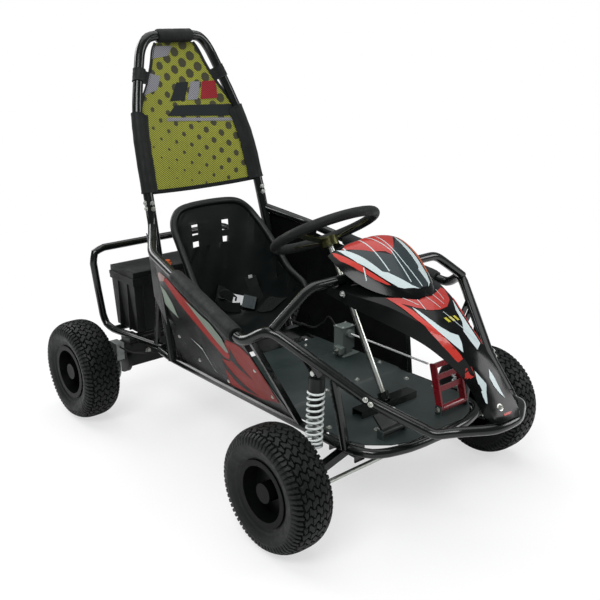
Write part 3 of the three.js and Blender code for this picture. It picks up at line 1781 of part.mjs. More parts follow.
// Upper shock brackets hang from the side tubes.
function shockBracket() {
  const above = sideTubeAt(0);
  const eye = shockPoint(shockTop);
  const plate = (back) =>
    bar(
      eye.clone().setY(back).setZ(shockTop - shockEyeRadius * 0.4),
      vector(above.x, back, above.z),
      shockEyeRadius * 1.8,
      yokePlate,
      vector(0, 1, 0),
    );
  const offset = shockEyeRadius * 0.7 + clearance + yokePlate / 2;
  const pin = rod(eye.clone().setY(-offset), eye.clone().setY(offset), shockPinRadius);
  return join(plate(-offset), plate(offset), pin);
}

// Tyre and rim, built round the origin with the outer side along +X.
const treadHalf = tyreWidth / 2;
const facetFit = 1 / Math.cos(Math.PI / tyreFacets);
function tyre() {
  const bead = (beadRadius + clearance) * facetFit;
  const flange = (rimFlangeRadius + clearance) * facetFit;
  const tread = tyreRadius - beadRadius;
  const seatHalfWidth = rimHalfWidth - rimSheet - clearance;
  const outer = [
    [bead, seatHalfWidth],
    [flange, seatHalfWidth],
    [beadRadius + tread * 0.4, treadHalf * 0.98],
    [beadRadius + tread * 0.8, treadHalf],
    [tyreRadius, treadHalf * 0.7],
  ];
  const inner = [
    [beadRadius + tread * 0.84, treadHalf * 0.72],
    [bead, rimHalfWidth * 0.7],
  ];
  const opposite = (points) => points.map(([radius, x]) => [radius, -x]).reverse();
  return turned([...outer, ...opposite(outer), ...opposite(inner), ...inner, outer[0]].reverse(), tyreFacets);
}

function rim() {
  const inner = beadRadius - rimSheet;
  const lip = rimHalfWidth - rimSheet;
  const dish = rimHalfWidth * 0.25;
  const profile = [
    [0, hubCapReach],
    [hubRadius, hubCapReach],
    [hubRadius, dish],
    [inner * 0.88, dish],
    [inner, rimHalfWidth],
    [rimFlangeRadius, rimHalfWidth],
    [rimFlangeRadius, lip],
    [beadRadius, lip],
    [beadRadius, -lip],
    [rimFlangeRadius, -lip],
    [rimFlangeRadius, -rimHalfWidth],
    [inner, -rimHalfWidth],
    [inner, -dish],
    [inner * 0.88, dish - rimSheet],
    [hubRadius, dish - rimSheet],
    [hubRadius, -hubInnerReach],
    [axleRadius + clearance, -hubInnerReach],
    [axleRadius + clearance, hubBoreDepth],
    [0, hubBoreDepth],
  ];
  return turned(profile.reverse(), rimFacets);
}

// Materials
const paint = (color, roughness, metalness) => new THREE.MeshStandardMaterial({ color, roughness, metalness });
const frameBlack = () => paint(0x15181a, 0.28, 0.3);
const plasticBlack = () => paint(0x1b1d1f, 0.5, 0);
const glossBlack = () => paint(0x101113, 0.2, 0);
const foamBlack = () => paint(0x1d1f20, 0.9, 0);
const rubberBlack = () => paint(0x191a1a, 0.85, 0);
const zinc = () => paint(0xc3c6bd, 0.35, 0.9);
const steel = () => paint(0x9a9d9e, 0.4, 0.9);
const pedalRed = () => paint(0x9c1418, 0.35, 0.2);
const springWhite = () => paint(0xe7e9e6, 0.35, 0.2);
const meshYellow = () => paint(0xb4ae2c, 0.9, 0);
const floorGrey = () => paint(0x3c4442, 0.5, 0.4);
const alloy = () => paint(0x8f9494, 0.4, 0.8);

const kart = new THREE.Group();
kart.position.y = frontAxleY;

function add(name, solid, material, parent = kart) {
  const mesh = new THREE.Mesh(toGeometry(solid), material);
  mesh.name = name;
  parent.add(mesh);
}

function addPair(name, solid, material) {
  add(`${name}_left`, solid, material());
  add(`${name}_right`, mirrorX(solid), material());
}

add("base_frame", baseFrame(), frameBlack());
addPair("side_frame", join(sideFrame(), shockBracket()), frameBlack);
add("nose_bumper", noseBumper(), frameBlack());
add("dash_hoop", dashHoop(), frameBlack());
add("rear_guard", rearGuard(), frameBlack());
add("roll_hoop", rollHoop(), frameBlack());
add("floor_pan", floorPan(), floorGrey());
add("steering_bracket", steeringBracket(), frameBlack());
add("seat", seat(), plasticBlack());
add("belt_left", strap(leftStrapShares, leftSpreadShares), foamBlack());
add("belt_right", strap(rightStrapShares, rightSpreadShares), foamBlack());
add("belt_buckle", beltBuckle(), steel());
add("buckle_button", buckleButton(), pedalRed());
add("headrest_mesh", headrestMesh(), meshYellow());
add("hoop_pad", hoopPad(), foamBlack());
add("arm_pad_left", cut(armPad(), leftStrutSpace), foamBlack());
add("arm_pad_right", mirrorX(armPad()), foamBlack());
add("side_panel_left", sidePanel(leftFrontShares, leftStrut), glossBlack());
add("side_panel_right", mirrorX(sidePanel(rightFrontShares, rightStrut)), glossBlack());
add("nose_cone", noseCone(), glossBlack());
add("hood", hood(), glossBlack());
add("battery_box", batteryBox(), plasticBlack());
add("battery_lid", batteryLid(), plasticBlack());
add("battery_cells", batteryCells(), plasticBlack());
add("axle_carrier", axleCarrier(), frameBlack());
add("motor", motor(), alloy());
add("motor_sprocket", motorSprocket(), steel());
add("chain", chain(), steel());
add("rear_axle", rearAxle(), steel());
add("brake_caliper", brakeCaliper(), alloy());
add("brake_pedal", brakePedal(), pedalRed());
add("brake_pushrod", brakePushrod(), zinc());
add("master_cylinder", masterCylinder(), alloy());
add("brake_hose", brakeHose(), rubberBlack());
add("throttle_pedal", throttlePedal(), plasticBlack());
add("steering_wheel", steeringWheel(), foamBlack());
add("steering_shaft", steeringShaft(), zinc());
addPair("tie_rod_joint", tieRodJoint(), steel);
addPair("tie_rod", tieRod(), zinc);
addPair("front_arm", frontArm(), frameBlack);
addPair("knuckle", knuckle(), frameBlack);
addPair("shock_body", shockBody(), plasticBlack);
addPair("shock_rod", shockRod(), steel);
addPair("shock_spring", springSolid(), springWhite);

// Wheels, each a group at its own hub.
const tyreSolid = tyre();
const rimSolid = rim();
for (const [end, back] of [["front", 0], ["rear", wheelbase]]) {
  for (const [sideName, side] of [["left", 1], ["right", -1]]) {
    const wheel = new THREE.Group();
    wheel.position.set(side * halfTrack, back, axleHeight);
    wheel.rotation.z = side > 0 ? 0 : Math.PI;
    kart.add(wheel);
    add(`${end}_tyre_${sideName}`, tyreSolid, rubberBlack(), wheel);
    add(`${end}_rim_${sideName}`, rimSolid, frameBlack(), wheel);
  }
}

console.log(`least gap between turns of a spring: ${springSelfGap().toFixed(2)} mm`);

const model = new THREE.Group();
model.add(kart);

export default model;
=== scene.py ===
import json
import math

import bmesh
import bpy
import numpy as np
from mathutils import Matrix, Vector, noise
from mathutils.bvhtree import BVHTree
from mathutils.geometry import delaunay_2d_cdt
from mathutils.interpolate import poly_3d_calc

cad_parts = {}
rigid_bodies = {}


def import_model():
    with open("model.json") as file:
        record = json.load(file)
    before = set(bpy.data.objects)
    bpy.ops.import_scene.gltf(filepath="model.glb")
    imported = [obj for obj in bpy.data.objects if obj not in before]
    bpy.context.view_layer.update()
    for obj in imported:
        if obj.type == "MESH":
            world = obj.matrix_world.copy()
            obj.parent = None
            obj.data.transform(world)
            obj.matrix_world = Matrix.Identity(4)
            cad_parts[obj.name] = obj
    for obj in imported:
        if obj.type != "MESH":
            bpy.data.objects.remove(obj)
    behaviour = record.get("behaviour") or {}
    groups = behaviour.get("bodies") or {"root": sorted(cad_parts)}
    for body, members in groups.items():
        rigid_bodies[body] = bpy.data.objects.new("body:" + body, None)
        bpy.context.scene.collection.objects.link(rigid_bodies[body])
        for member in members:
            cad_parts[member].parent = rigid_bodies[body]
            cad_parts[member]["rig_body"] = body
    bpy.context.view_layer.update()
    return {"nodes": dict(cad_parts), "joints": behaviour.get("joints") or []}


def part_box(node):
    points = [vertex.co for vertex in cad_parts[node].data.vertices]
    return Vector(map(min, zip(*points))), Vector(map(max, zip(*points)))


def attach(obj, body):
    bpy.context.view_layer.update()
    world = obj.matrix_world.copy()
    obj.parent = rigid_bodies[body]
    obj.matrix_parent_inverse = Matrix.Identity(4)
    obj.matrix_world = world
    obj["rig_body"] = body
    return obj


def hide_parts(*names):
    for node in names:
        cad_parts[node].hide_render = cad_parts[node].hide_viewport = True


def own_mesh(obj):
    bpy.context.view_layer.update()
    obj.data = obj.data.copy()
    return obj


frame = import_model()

# Looks of the off road go kart. Sizes in the tables are millimetres in the kart frame:
# X from the centre plane, Y behind the front axle, Z above the ground.
nodes = frame["nodes"]
looks = {}

SIDES = (("left", 1), ("right", -1))
FRONT_AXLE_Y = -399.794
TYRE_RADIUS = 163.0
BEAD_RADIUS = 76.5
FLANGE_RADIUS = 88.0


def place(x, y, z):
    """A point of the kart frame, in metres in the scene's frame."""
    return Vector((x, y + FRONT_AXLE_Y, z)) / 1000


def body_name(node):
    return nodes[node]["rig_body"]


def placed(name, data):
    """A new object of the scene."""
    made = bpy.data.objects.new(name, data)
    bpy.context.scene.collection.objects.link(made)
    return made


def link(name, data, material, body="chassis"):
    """A piece of one material that rides on a body."""
    piece = placed(name, data)
    data.materials.append(material)
    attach(piece, body)
    return piece


def smooth_link(name, mesh, material, body, sharp):
    """Links a mesh with smooth shading. Edges above the sharp angle in degrees, if any, stay sharp."""
    mesh.polygons.foreach_set("use_smooth", [True] * len(mesh.polygons))
    if sharp:
        mesh.set_sharp_from_angle(angle=math.radians(sharp))
    return link(name, mesh, material, body)


def from_lists(name, points, faces, material, body, sharp=None):
    mesh = bpy.data.meshes.new(name)
    mesh.from_pydata(points, [], faces)
    return smooth_link(name, mesh, material, body, sharp)


def from_bmesh(name, made, material, body="chassis", sharp=50):
    mesh = bpy.data.meshes.new(name)
    made.to_mesh(mesh)
    made.free()
    return smooth_link(name, mesh, material, body, sharp)


def shown_for(node, points, faces, material, sharp):
    """A piece from lists that is shown in place of a node of the frame."""
    piece = from_lists(node + "_look", points, faces, material, body_name(node), sharp)
    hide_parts(node)
    looks[node] = piece
    return piece


def add_skin(made, rings, closed=False):
    """Adds a skin through rings of places to a bmesh, over its last ring too. A closed one turns outwards."""
    rings = [[made.verts.new(spot) for spot in ring] for ring in rings]
    for first, second in zip(rings, rings[1:]):
        for i in range(len(first)):
            j = (i + 1) % len(first)
            made.faces.new((first[i], first[j], second[j], second[i]))
    made.faces.new(rings[-1])
    if closed:
        made.faces.new(rings[0][::-1])
        bmesh.ops.recalc_face_normals(made, faces=made.faces)


def skin(name, rings, material, body="chassis", sharp=50):
    """A piece with a closed skin through rings of places."""
    made = bmesh.new()
    add_skin(made, rings, closed=True)
    return from_bmesh(name, made, material, body, sharp)


# Materials


class Shader:
    """A Principled material with helpers for the nodes that feed it."""

    def __init__(self, name, **values):
        self.material = bpy.data.materials.new(name)
        self.material.use_nodes = True
        self.tree = self.material.node_tree
        self.shader = self.tree.nodes["Principled BSDF"]
        for socket, value in values.items():
            self.shader.inputs[socket.replace("_", " ")].default_value = value
        self.place = self.node("ShaderNodeTexCoord").outputs["Object"]

    def node(self, kind, values=None, **settings):
        """A new node with the given settings, and with values on its named inputs."""
        made = self.tree.nodes.new(kind)
        for key, value in settings.items():
            setattr(made, key, value)
        for socket, value in (values or {}).items():
            made.inputs[socket].default_value = value
        return made

    def join(self, source, target):
        self.tree.links.new(source, target)

    def feed(self, socket, value):
        if isinstance(value, (int, float)):
            socket.default_value = value
        else:
            self.join(value, socket)

    def math(self, operation, a, b=0.0, c=0.0):
        made = self.node("ShaderNodeMath", operation=operation)
        for socket, value in zip(made.inputs, (a, b, c)):
            self.feed(socket, value)
        return made.outputs[0]

    def noise(self, scale, detail=3.0, rough=0.55, stretch=None):
        made = self.node("ShaderNodeTexNoise", {"Scale": scale, "Detail": detail, "Roughness": rough})
        self.join(self.mapped(stretch) if stretch else self.place, made.inputs["Vector"])
        return made.outputs["Fac"]

    def mapped(self, scale=(1, 1, 1), turn=0.0):
        """The place, stretched and then turned by degrees about Y."""
        made = self.node("ShaderNodeMapping", {"Scale": scale, "Rotation": (0, math.radians(turn), 0)})
        self.join(self.place, made.inputs["Vector"])
        return made.outputs["Vector"]

    def parts(self, vector):
        made = self.node("ShaderNodeSeparateXYZ")
        self.join(vector, made.inputs[0])
        return made.outputs

    def cells(self, scale, randomness=1.0, vector=None):
        made = self.node("ShaderNodeTexVoronoi", {"Scale": scale, "Randomness": randomness})
        self.join(vector or self.place, made.inputs["Vector"])
        return made.outputs["Distance"]

    def spread(self, value, low, high, to_low=0.0, to_high=1.0):
        values = {"From Min": low, "From Max": high, "To Min": to_low, "To Max": to_high}
        made = self.node("ShaderNodeMapRange", values, clamp=True)
        self.join(value, made.inputs["Value"])
        return made.outputs["Result"]

    def blend(self, factor, first, second):
        made = self.node("ShaderNodeMix", data_type="RGBA")
        self.feed(made.inputs["Factor"], factor)
        for socket, value in ((made.inputs["A"], first), (made.inputs["B"], second)):
            if isinstance(value, tuple):
                socket.default_value = (*value, 1.0)
            else:
                self.join(value, socket)
        return made.outputs["Result"]

    def colour(self, value):
        if isinstance(value, tuple):
            self.shader.inputs["Base Color"].default_value = (*value, 1.0)
        else:
            self.join(value, self.shader.inputs["Base Color"])

    def roughness(self, pattern, low, high):
        """A roughness that follows a noise from low to high."""
        self.join(self.spread(pattern, 0.3, 0.7, low, high), self.shader.inputs["Roughness"])

    def rounding(self, radius):
        """The normal with edges rounded by a radius in metres."""
        return self.node("ShaderNodeBevel", {"Radius": radius}, samples=4).outputs["Normal"]

    def relief(self, layers, edge=0.0):
        """Bumps laid over each other, over edges rounded by the given radius in metres."""
        normal = self.rounding(edge) if edge else None
        for height, strength, distance in layers:
            bump = self.node("ShaderNodeBump", {"Strength": strength, "Distance": distance})
            self.join(height, bump.inputs["Height"])
            if normal:
                self.join(normal, bump.inputs["Normal"])
            normal = bump.outputs["Normal"]
        self.join(normal, self.shader.inputs["Normal"])

    def edges(self, radius, low, high):
        """About 1 along sharp edges, where paint wears, and 0 elsewhere."""
        dot = self.node("ShaderNodeVectorMath", operation="DOT_PRODUCT")
        self.join(self.rounding(radius), dot.inputs[0])
        self.join(self.node("ShaderNodeNewGeometry").outputs["Normal"], dot.inputs[1])
        return self.spread(self.math("SUBTRACT", 1.0, dot.outputs["Value"]), low, high)


def shade(colour, factor):
    return tuple(part * factor for part in colour)


def painted(name, colour, worn, rough, coat=0.0, peel=0.04, edge=0.0, dust=0.4, shine=0.45):
    """Paint or powder coat: orange peel, faint dust in broad patches, and scuffs or worn edges."""
    s = Shader(name, Coat_Weight=coat, Coat_Roughness=0.06, Specular_IOR_Level=shine)
    film = s.math("MULTIPLY", s.spread(s.noise(9, 5), 0.45, 0.75), dust)
    body = s.blend(film, colour, tuple(c * 1.7 + 0.004 for c in colour))
    if edge:
        scuff = s.math("MULTIPLY", s.edges(edge * 1.5, 0.06, 0.3), s.spread(s.noise(60, 4), 0.5, 0.62))
    else:
        scuff = s.spread(s.noise(95, 6, 0.7, (1, 1, 0.3)), 0.70, 0.78)
    s.colour(s.blend(scuff, body, worn))
    s.roughness(s.noise(24, 4), rough - 0.05, rough + 0.07)
    s.relief([(s.noise(300, 2), peel, 0.0006)], edge)
    return s.material


def moulded(name, colour, rough, grain=900, depth=0.25, edge=0.0015):
    """Moulded plastic with a fine pebbled grain."""
    s = Shader(name, Specular_IOR_Level=0.28)
    s.colour(s.blend(s.noise(7, 4), shade(colour, 0.75), shade(colour, 1.35)))
    s.roughness(s.noise(18, 5), rough - 0.06, rough + 0.1)
    s.relief([(s.cells(grain), depth, 0.0004), (s.noise(35, 3), 0.06, 0.002)], edge)
    return s.material


def metal(name, colour, rough, brushed=(1, 1, 1), tint=None, edge=0.0008):
    """Bare or plated metal with fine brushing and faint stains."""
    s = Shader(name, Metallic=1.0)
    stain = s.spread(s.noise(45, 5), 0.5, 0.75)
    s.colour(s.blend(stain, colour, tint or shade(colour, 0.72)))
    lines = s.noise(260, 4, 0.6, brushed)
    s.roughness(lines, rough - 0.08, rough + 0.12)
    s.relief([(lines, 0.15, 0.0003)], edge)
    return s.material


def foam(name, colour):
    """Soft vinyl or neoprene over foam: creases round it, and a fine grain."""
    s = Shader(name, Sheen_Weight=0.02, Sheen_Roughness=0.5, Specular_IOR_Level=0.24)
    s.colour(s.blend(s.noise(14, 5), shade(colour, 0.8), shade(colour, 1.5)))
    s.roughness(s.noise(30, 4), 0.5, 0.72)
    creases = s.noise(22, 3, 0.5, (0.6, 2.2, 1.0))
    s.relief([(creases, 0.35, 0.004), (s.cells(1300), 0.3, 0.0003)])
    return s.material


def webbing(name, colour):
    """Woven belt webbing with ribs across."""
    s = Shader(name, Sheen_Weight=0.08, Specular_IOR_Level=0.25)
    wave = s.node("ShaderNodeTexWave", {"Scale": 330, "Distortion": 0.6}, wave_type="BANDS",
                  bands_direction="DIAGONAL")
    s.join(s.place, wave.inputs["Vector"])
    weave = wave.outputs["Fac"]
    s.colour(s.blend(weave, shade(colour, 0.6), shade(colour, 1.5)))
    s.roughness(s.noise(50, 3), 0.55, 0.8)
    s.relief([(weave, 0.5, 0.0006)])
    return s.material


def rubber(name, colour):
    """Moulded rubber with dry dust in patches and a fine skin."""
    s = Shader(name, Specular_IOR_Level=0.22)
    dust = s.spread(s.noise(16, 6, 0.7), 0.46, 0.75)
    s.colour(s.blend(dust, colour, (colour[0] * 1.6, colour[1] * 1.6, colour[2] * 1.5)))
    s.roughness(s.noise(70, 4), 0.42, 0.62)
    s.relief([(s.noise(700, 3), 0.25, 0.0005)])
    return s.material


def decal(name, colour, coat=0.15, rough=0.26):
    """Printed vinyl, with a slight shift of its ink."""
    s = Shader(name, Coat_Weight=coat, Coat_Roughness=0.08, Specular_IOR_Level=0.2)
    s.colour(s.blend(s.noise(12, 5, 0.6), shade(colour, 0.8), colour))
    s.roughness(s.noise(30, 4), rough - 0.02, rough + 0.06)
    return s.material


# Weft and warp: a turn in degrees and the distance between threads in metres
WEFT = (48, 0.0056)
WARP = (-44, 0.0038)
DOT_GAP = 0.040
DOT_TURN = 31


def threads(s, turn, pitch):
    """Stripes across the fabric's face: 1 along the middle of each thread, 0 between them."""
    across = s.parts(s.mapped(turn=turn))["X"]
    return s.spread(s.math("SINE", s.math("MULTIPLY", across, 2 * math.pi / pitch)), -1.0, 1.0)


def woven_mesh(name, yarn_low, yarn_high, gap, dots=None):
    """Diagonally woven open mesh. Printed dots shrink towards the lower left corner."""
    s = Shader(name, Sheen_Weight=0.1, Roughness=0.75, Specular_IOR_Level=0.2)
    weft, warp = threads(s, *WEFT), threads(s, *WARP)
    yarn = s.blend(s.noise(5, 4), yarn_low, yarn_high)
    if dots:
        spot = s.cells(1 / DOT_GAP, 0.0, s.mapped((1, 0, 1), DOT_TURN))
        at = s.parts(s.place)
        rise = s.math("ADD", at["Z"], s.math("MULTIPLY", at["X"], 0.9))
        size = s.spread(rise, 0.66, 1.14, 0.03, 0.37)
        dot = s.spread(s.math("SUBTRACT", spot, size), -0.025, 0.025, 1.0, 0.0)
        yarn = s.blend(dot, yarn, dots)
    cover = s.math("MULTIPLY", s.spread(weft, 0.25, 0.55), s.spread(warp, 0.0, 0.4, 0.6, 1.0))
    s.colour(s.blend(cover, gap, yarn))
    s.relief([(s.math("ADD", weft, s.math("MULTIPLY", warp, 0.5)), 0.35, 0.0008)])
    return s.material


WORN = (0.055, 0.060, 0.058)
powder = painted("powder_black", (0.0027, 0.0038, 0.0033), WORN, 0.20, coat=0.22, shine=0.30)
satin = painted("satin_black", (0.0036, 0.0046, 0.0040), (0.03, 0.03, 0.03), 0.40, shine=0.3)
rim_black = painted("rim_black", (0.0018, 0.0025, 0.0020), (0.02, 0.02, 0.02), 0.30, shine=0.06)
gloss = painted("panel_gloss", (0.0024, 0.0030, 0.0030), (0.02, 0.02, 0.02), 0.17,
                coat=0.05, peel=0.02, dust=0.2, shine=0.14)
panel_black = painted("panel_satin", (0.0022, 0.0029, 0.0024), (0.02, 0.02, 0.02), 0.30,
                      peel=0.02, dust=0.2, shine=0.16)
floor_paint = painted("floor_grey", (0.017, 0.027, 0.0255), (0.12, 0.13, 0.13), 0.40, edge=0.0012)
red_paint = painted("pedal_red", (0.17, 0.005, 0.010), (0.30, 0.08, 0.07), 0.28, coat=0.2, edge=0.0010)
spring_white = painted("spring_white", (0.66, 0.71, 0.69), (0.30, 0.31, 0.30), 0.28, coat=0.2)
seat_plastic = moulded("seat_plastic", (0.0028, 0.0046, 0.0043), 0.40)
box_plastic = moulded("box_plastic", (0.0055, 0.0065, 0.0062), 0.46, grain=500)
fine_plastic = moulded("fine_plastic", (0.0065, 0.0075, 0.0075), 0.40, grain=1500, depth=0.12)
orange_plastic = moulded("orange_plastic", (0.55, 0.10, 0.015), 0.4, grain=1500, depth=0.1)
grey_plastic = moulded("buckle_grey", (0.048, 0.062, 0.064), 0.42, grain=1500, depth=0.1)
box_grey = painted("cover_grey", (0.115, 0.140, 0.132), (0.30, 0.32, 0.30), 0.34, edge=0.0010)
pad_foam = foam("pad_foam", (0.0044, 0.0056, 0.0052))
sleeve_cloth = foam("sleeve_cloth", (0.0036, 0.0050, 0.0050))
belt_web = webbing("belt_web", (0.0085, 0.0105, 0.0100))
belt_edge = webbing("belt_edge", (0.36, 0.38, 0.37))
tyre_rubber = rubber("tyre_rubber", (0.0038, 0.0050, 0.0045))
hose_rubber = rubber("hose_rubber", (0.0045, 0.0050, 0.0050))
zinc = metal("zinc_plate", (0.50, 0.52, 0.49), 0.30, (1, 6, 6), tint=(0.36, 0.37, 0.28))
olive_zinc = metal("olive_zinc", (0.080, 0.080, 0.036), 0.34, (1, 6, 6), tint=(0.07, 0.068, 0.025))
steel = metal("steel", (0.42, 0.44, 0.44), 0.30, (1, 1, 8))
# Polished steel parts get a near-white paint in place of metal: the glare of their reflection is painted into
# the colour.
painted_glare_white = painted("tongue_plate", (0.74, 0.76, 0.76), (0.5, 0.5, 0.5), 0.22, coat=0.3, dust=0.1)
alloy = metal("cast_alloy", (0.30, 0.32, 0.315), 0.46, tint=(0.20, 0.22, 0.22))
print_red = decal("print_red", (0.42, 0.035, 0.028))
print_bright = decal("print_bright_red", (0.52, 0.040, 0.028))
print_orange = decal("print_orange", (0.55, 0.10, 0.020))
print_white = decal("print_white", (0.55, 0.64, 0.65))
print_slate = decal("print_slate", (0.026, 0.038, 0.042))
print_pink = decal("print_pink_grey", (0.24, 0.13, 0.11))
print_yellow = decal("print_yellow", (0.50, 0.46, 0.05))
side_red = decal("side_red", (0.25, 0.016, 0.011), 0.0, 0.50)
side_bright = decal("side_bright_red", (0.30, 0.011, 0.007), 0.0, 0.45)
side_pale = decal("side_pale_green", (0.22, 0.27, 0.22), 0.0, 0.45)
side_black = decal("side_black", (0.0045, 0.0052, 0.0055), 0.0, 0.45)
mesh_cloth = woven_mesh("mesh_cloth", (0.29, 0.31, 0.030), (0.43, 0.45, 0.045), (0.035, 0.036, 0.012),
                        (0.048, 0.045, 0.030))
mesh_black = woven_mesh("mesh_black", (0.008, 0.012, 0.014), (0.012, 0.017, 0.019), (0.004, 0.005, 0.005))
mesh_grey = woven_mesh("mesh_grey", (0.26, 0.26, 0.31), (0.33, 0.33, 0.38), (0.06, 0.06, 0.05))
mesh_red = woven_mesh("mesh_red", (0.32, 0.012, 0.020), (0.40, 0.018, 0.026), (0.06, 0.006, 0.008))


# Rounded copies of the frame's solids

# The share of its bend by which a smooth edge swells, and the most that it may, as a share of its length.
# Edges longer than LONG_EDGE, in metres, have a most of their own.
SWELL = 0.28
MOST_SWELL = 0.12
LONG_EDGE = 0.05


def face_normals(points, faces):
    a, b, c = (points[faces[:, i]] for i in range(3))
    normal = np.cross(b - a, c - a)
    length = np.linalg.norm(normal, axis=1)
    return normal / np.maximum(length, 1e-15)[:, None], length / 2


def corner_normals(points, faces, smooth_cosine):
    """A normal for each corner of each face, shared by the faces round the point that meet smoothly."""
    normals, areas = face_normals(points, faces)
    sides = [points[faces[:, (i + 1) % 3]] - points[faces[:, i]] for i in range(3)]
    angles = np.empty(faces.shape)
    for i in range(3):
        out, back = sides[i], -sides[i - 1]
        lengths = np.linalg.norm(out, axis=1) * np.linalg.norm(back, axis=1)
        cosine = (out * back).sum(1) / np.maximum(lengths, 1e-15)
        angles[:, i] = np.arccos(np.clip(cosine, -1, 1))
    round_point = [[] for _ in points]
    for face, corners in enumerate(faces):
        for i, corner in enumerate(corners):
            round_point[corner].append((face, i))
    result = np.empty((len(faces), 3, 3))
    for corners in round_point:
        if not corners:
            continue
        rows = np.array(corners)
        near = normals[rows[:, 0]]
        weight = angles[rows[:, 0], rows[:, 1]] * (areas[rows[:, 0]] > 1e-12)
        meets = (near @ near.T) > smooth_cosine
        total = (meets * weight) @ near
        length = np.linalg.norm(total, axis=1)
        total = np.where(length[:, None] > 1e-9, total / np.maximum(length, 1e-9)[:, None], near)
        result[rows[:, 0], rows[:, 1]] = total
    return result


def rounded(points, faces, smooth_angle, most):
    """One round of subdivision that swells smooth edges onto the curve their normals describe."""
    cosine = math.cos(math.radians(smooth_angle))
    corners = corner_normals(points, faces, cosine)
    edges = {}
    for face in range(len(faces)):
        for i in range(3):
            a, b = int(faces[face, i]), int(faces[face, (i + 1) % 3])
            middle = (points[a] + points[b]) / 2
            swell = np.zeros(3)
            for point, normal in ((points[a], corners[face, i]), (points[b], corners[face, (i + 1) % 3])):
                swell -= SWELL * ((middle - point) @ normal) * normal
            edges.setdefault((min(a, b), max(a, b)), []).append((face, middle, swell))
    normals, _ = face_normals(points, faces)
    index, extra = {}, []
    for edge, sides in edges.items():
        swell = sum(side[2] for side in sides)
        if len(sides) == 2 and normals[sides[0][0]] @ normals[sides[1][0]] > cosine:
            swell = swell / 2
        length = np.linalg.norm(points[edge[0]] - points[edge[1]])
        longest = length * MOST_SWELL if length < LONG_EDGE else most
        size = np.linalg.norm(swell)
        if size > longest:
            swell = swell * longest / size
        index[edge] = len(points) + len(extra)
        extra.append(sides[0][1] + swell)
    points = np.vstack([points, extra])
    made = []
    for a, b, c in faces:
        ab, bc, ca = (index[(min(p, q), max(p, q))] for p, q in ((a, b), (b, c), (c, a)))
        made += [(a, ab, ca), (ab, b, bc), (ca, bc, c), (ab, bc, ca)]
    return points, np.array(made)


def welded(node):
    """The node's points, joined where they meet, and its faces."""
    mesh = nodes[node].data
    points = np.empty(len(mesh.vertices) * 3)
    mesh.vertices.foreach_get("co", points)
    points = points.reshape(-1, 3)
    unique, back = np.unique(np.round(points, 6), axis=0, return_inverse=True)
    mesh.calc_loop_triangles()
    faces = np.empty(len(mesh.loop_triangles) * 3, int)
    mesh.loop_triangles.foreach_get("vertices", faces)
    faces = back.ravel()[faces].reshape(-1, 3)
    distinct = (faces[:, 0] != faces[:, 1]) & (faces[:, 1] != faces[:, 2]) & (faces[:, 0] != faces[:, 2])
    return unique, faces[distinct]


def refined(node, material, rounds=1, smooth_angle=50, most=0.0006):
    """A rounded copy of a node, shown in its place. Long edges swell by the given metres at most."""
    points, faces = welded(node)
    for _ in range(rounds):
        points, faces = rounded(points, faces, smooth_angle, most)
    return shown_for(node, points.tolist(), faces.tolist(), material, min(smooth_angle, 40))


LOOKS = {
    powder: ["base_frame", "nose_bumper", "dash_hoop", "rear_guard", "roll_hoop", "steering_bracket"],
    satin: ["axle_carrier"],
    floor_paint: ["floor_pan"],
    box_plastic: ["battery_box", "battery_lid", "battery_cells"],
    fine_plastic: ["throttle_pedal"],
    grey_plastic: ["buckle_button"],
    red_paint: ["brake_pedal"],
    alloy: ["motor", "brake_caliper"],
    box_grey: ["master_cylinder"],
    steel: ["motor_sprocket", "chain", "rear_axle"],
    zinc: ["steering_shaft"],
    painted_glare_white: ["brake_pushrod"],
}
PAIRS = {
    powder: ["side_frame", "front_arm", "knuckle"],
    zinc: ["tie_rod"],
    steel: ["tie_rod_joint"],
    fine_plastic: ["shock_body"],
    rim_black: ["front_rim", "rear_rim"],
}
# Shells and the wheel's ring take two rounds. Each row gives the angle up to which faces blend.
SHELLS = {
    "seat": (seat_plastic, 60),
    "hood": (gloss, 40),
    "nose_cone": (gloss, 28),
    "steering_wheel": (pad_foam, 60),
    "side_panel_left": (panel_black, 30),
    "side_panel_right": (panel_black, 30),
}
for material, names in LOOKS.items():
    for node in names:
        refined(node, material)
for material, names in PAIRS.items():
    for name in names:
        refined(name + "_left", material)
        refined(name + "_right", material)
for side, _ in SIDES:
    refined("shock_rod_" + side, steel, 0)
for node, (material, smooth_angle) in SHELLS.items():
    refined(node, material, 2, smooth_angle, 0.02)

# How far before a point a ray starts, and how far off the kart's middle the outlines' planes lie, in metres
RAY_START = 0.4
PLANE_OFF = 0.9
trees = {}


def surface(name, point, direction):
    """Where a line through the point meets a piece, in metres, and the piece's smooth normal there."""
    mesh = looks[name].data
    if name not in trees:
        trees[name] = BVHTree.FromPolygons([v.co for v in mesh.vertices], [p.vertices for p in mesh.polygons])
    direction = Vector(direction).normalized()
    hit, normal, index, _ = trees[name].ray_cast(point - direction * RAY_START, direction)
    if hit is None:
        return None, None
    corners = [mesh.vertices[i] for i in mesh.polygons[index].vertices]
    weights = poly_3d_calc([corner.co for corner in corners], hit)
    smooth = sum((corner.normal * weight for corner, weight in zip(corners, weights)), Vector())
    return hit, smooth.normalized() if smooth.dot(normal) > 0 else normal


# Printed graphics, and a painted highlight, laid on the panels

# The distance between a print's points in millimetres, how often their normals are evened out,
# and the longest side of a face in metres: a longer one would span an edge of the panel.
PRINT_STEP = 3.6
PRINT_ROUNDS = 8
PRINT_SIDE = 0.02


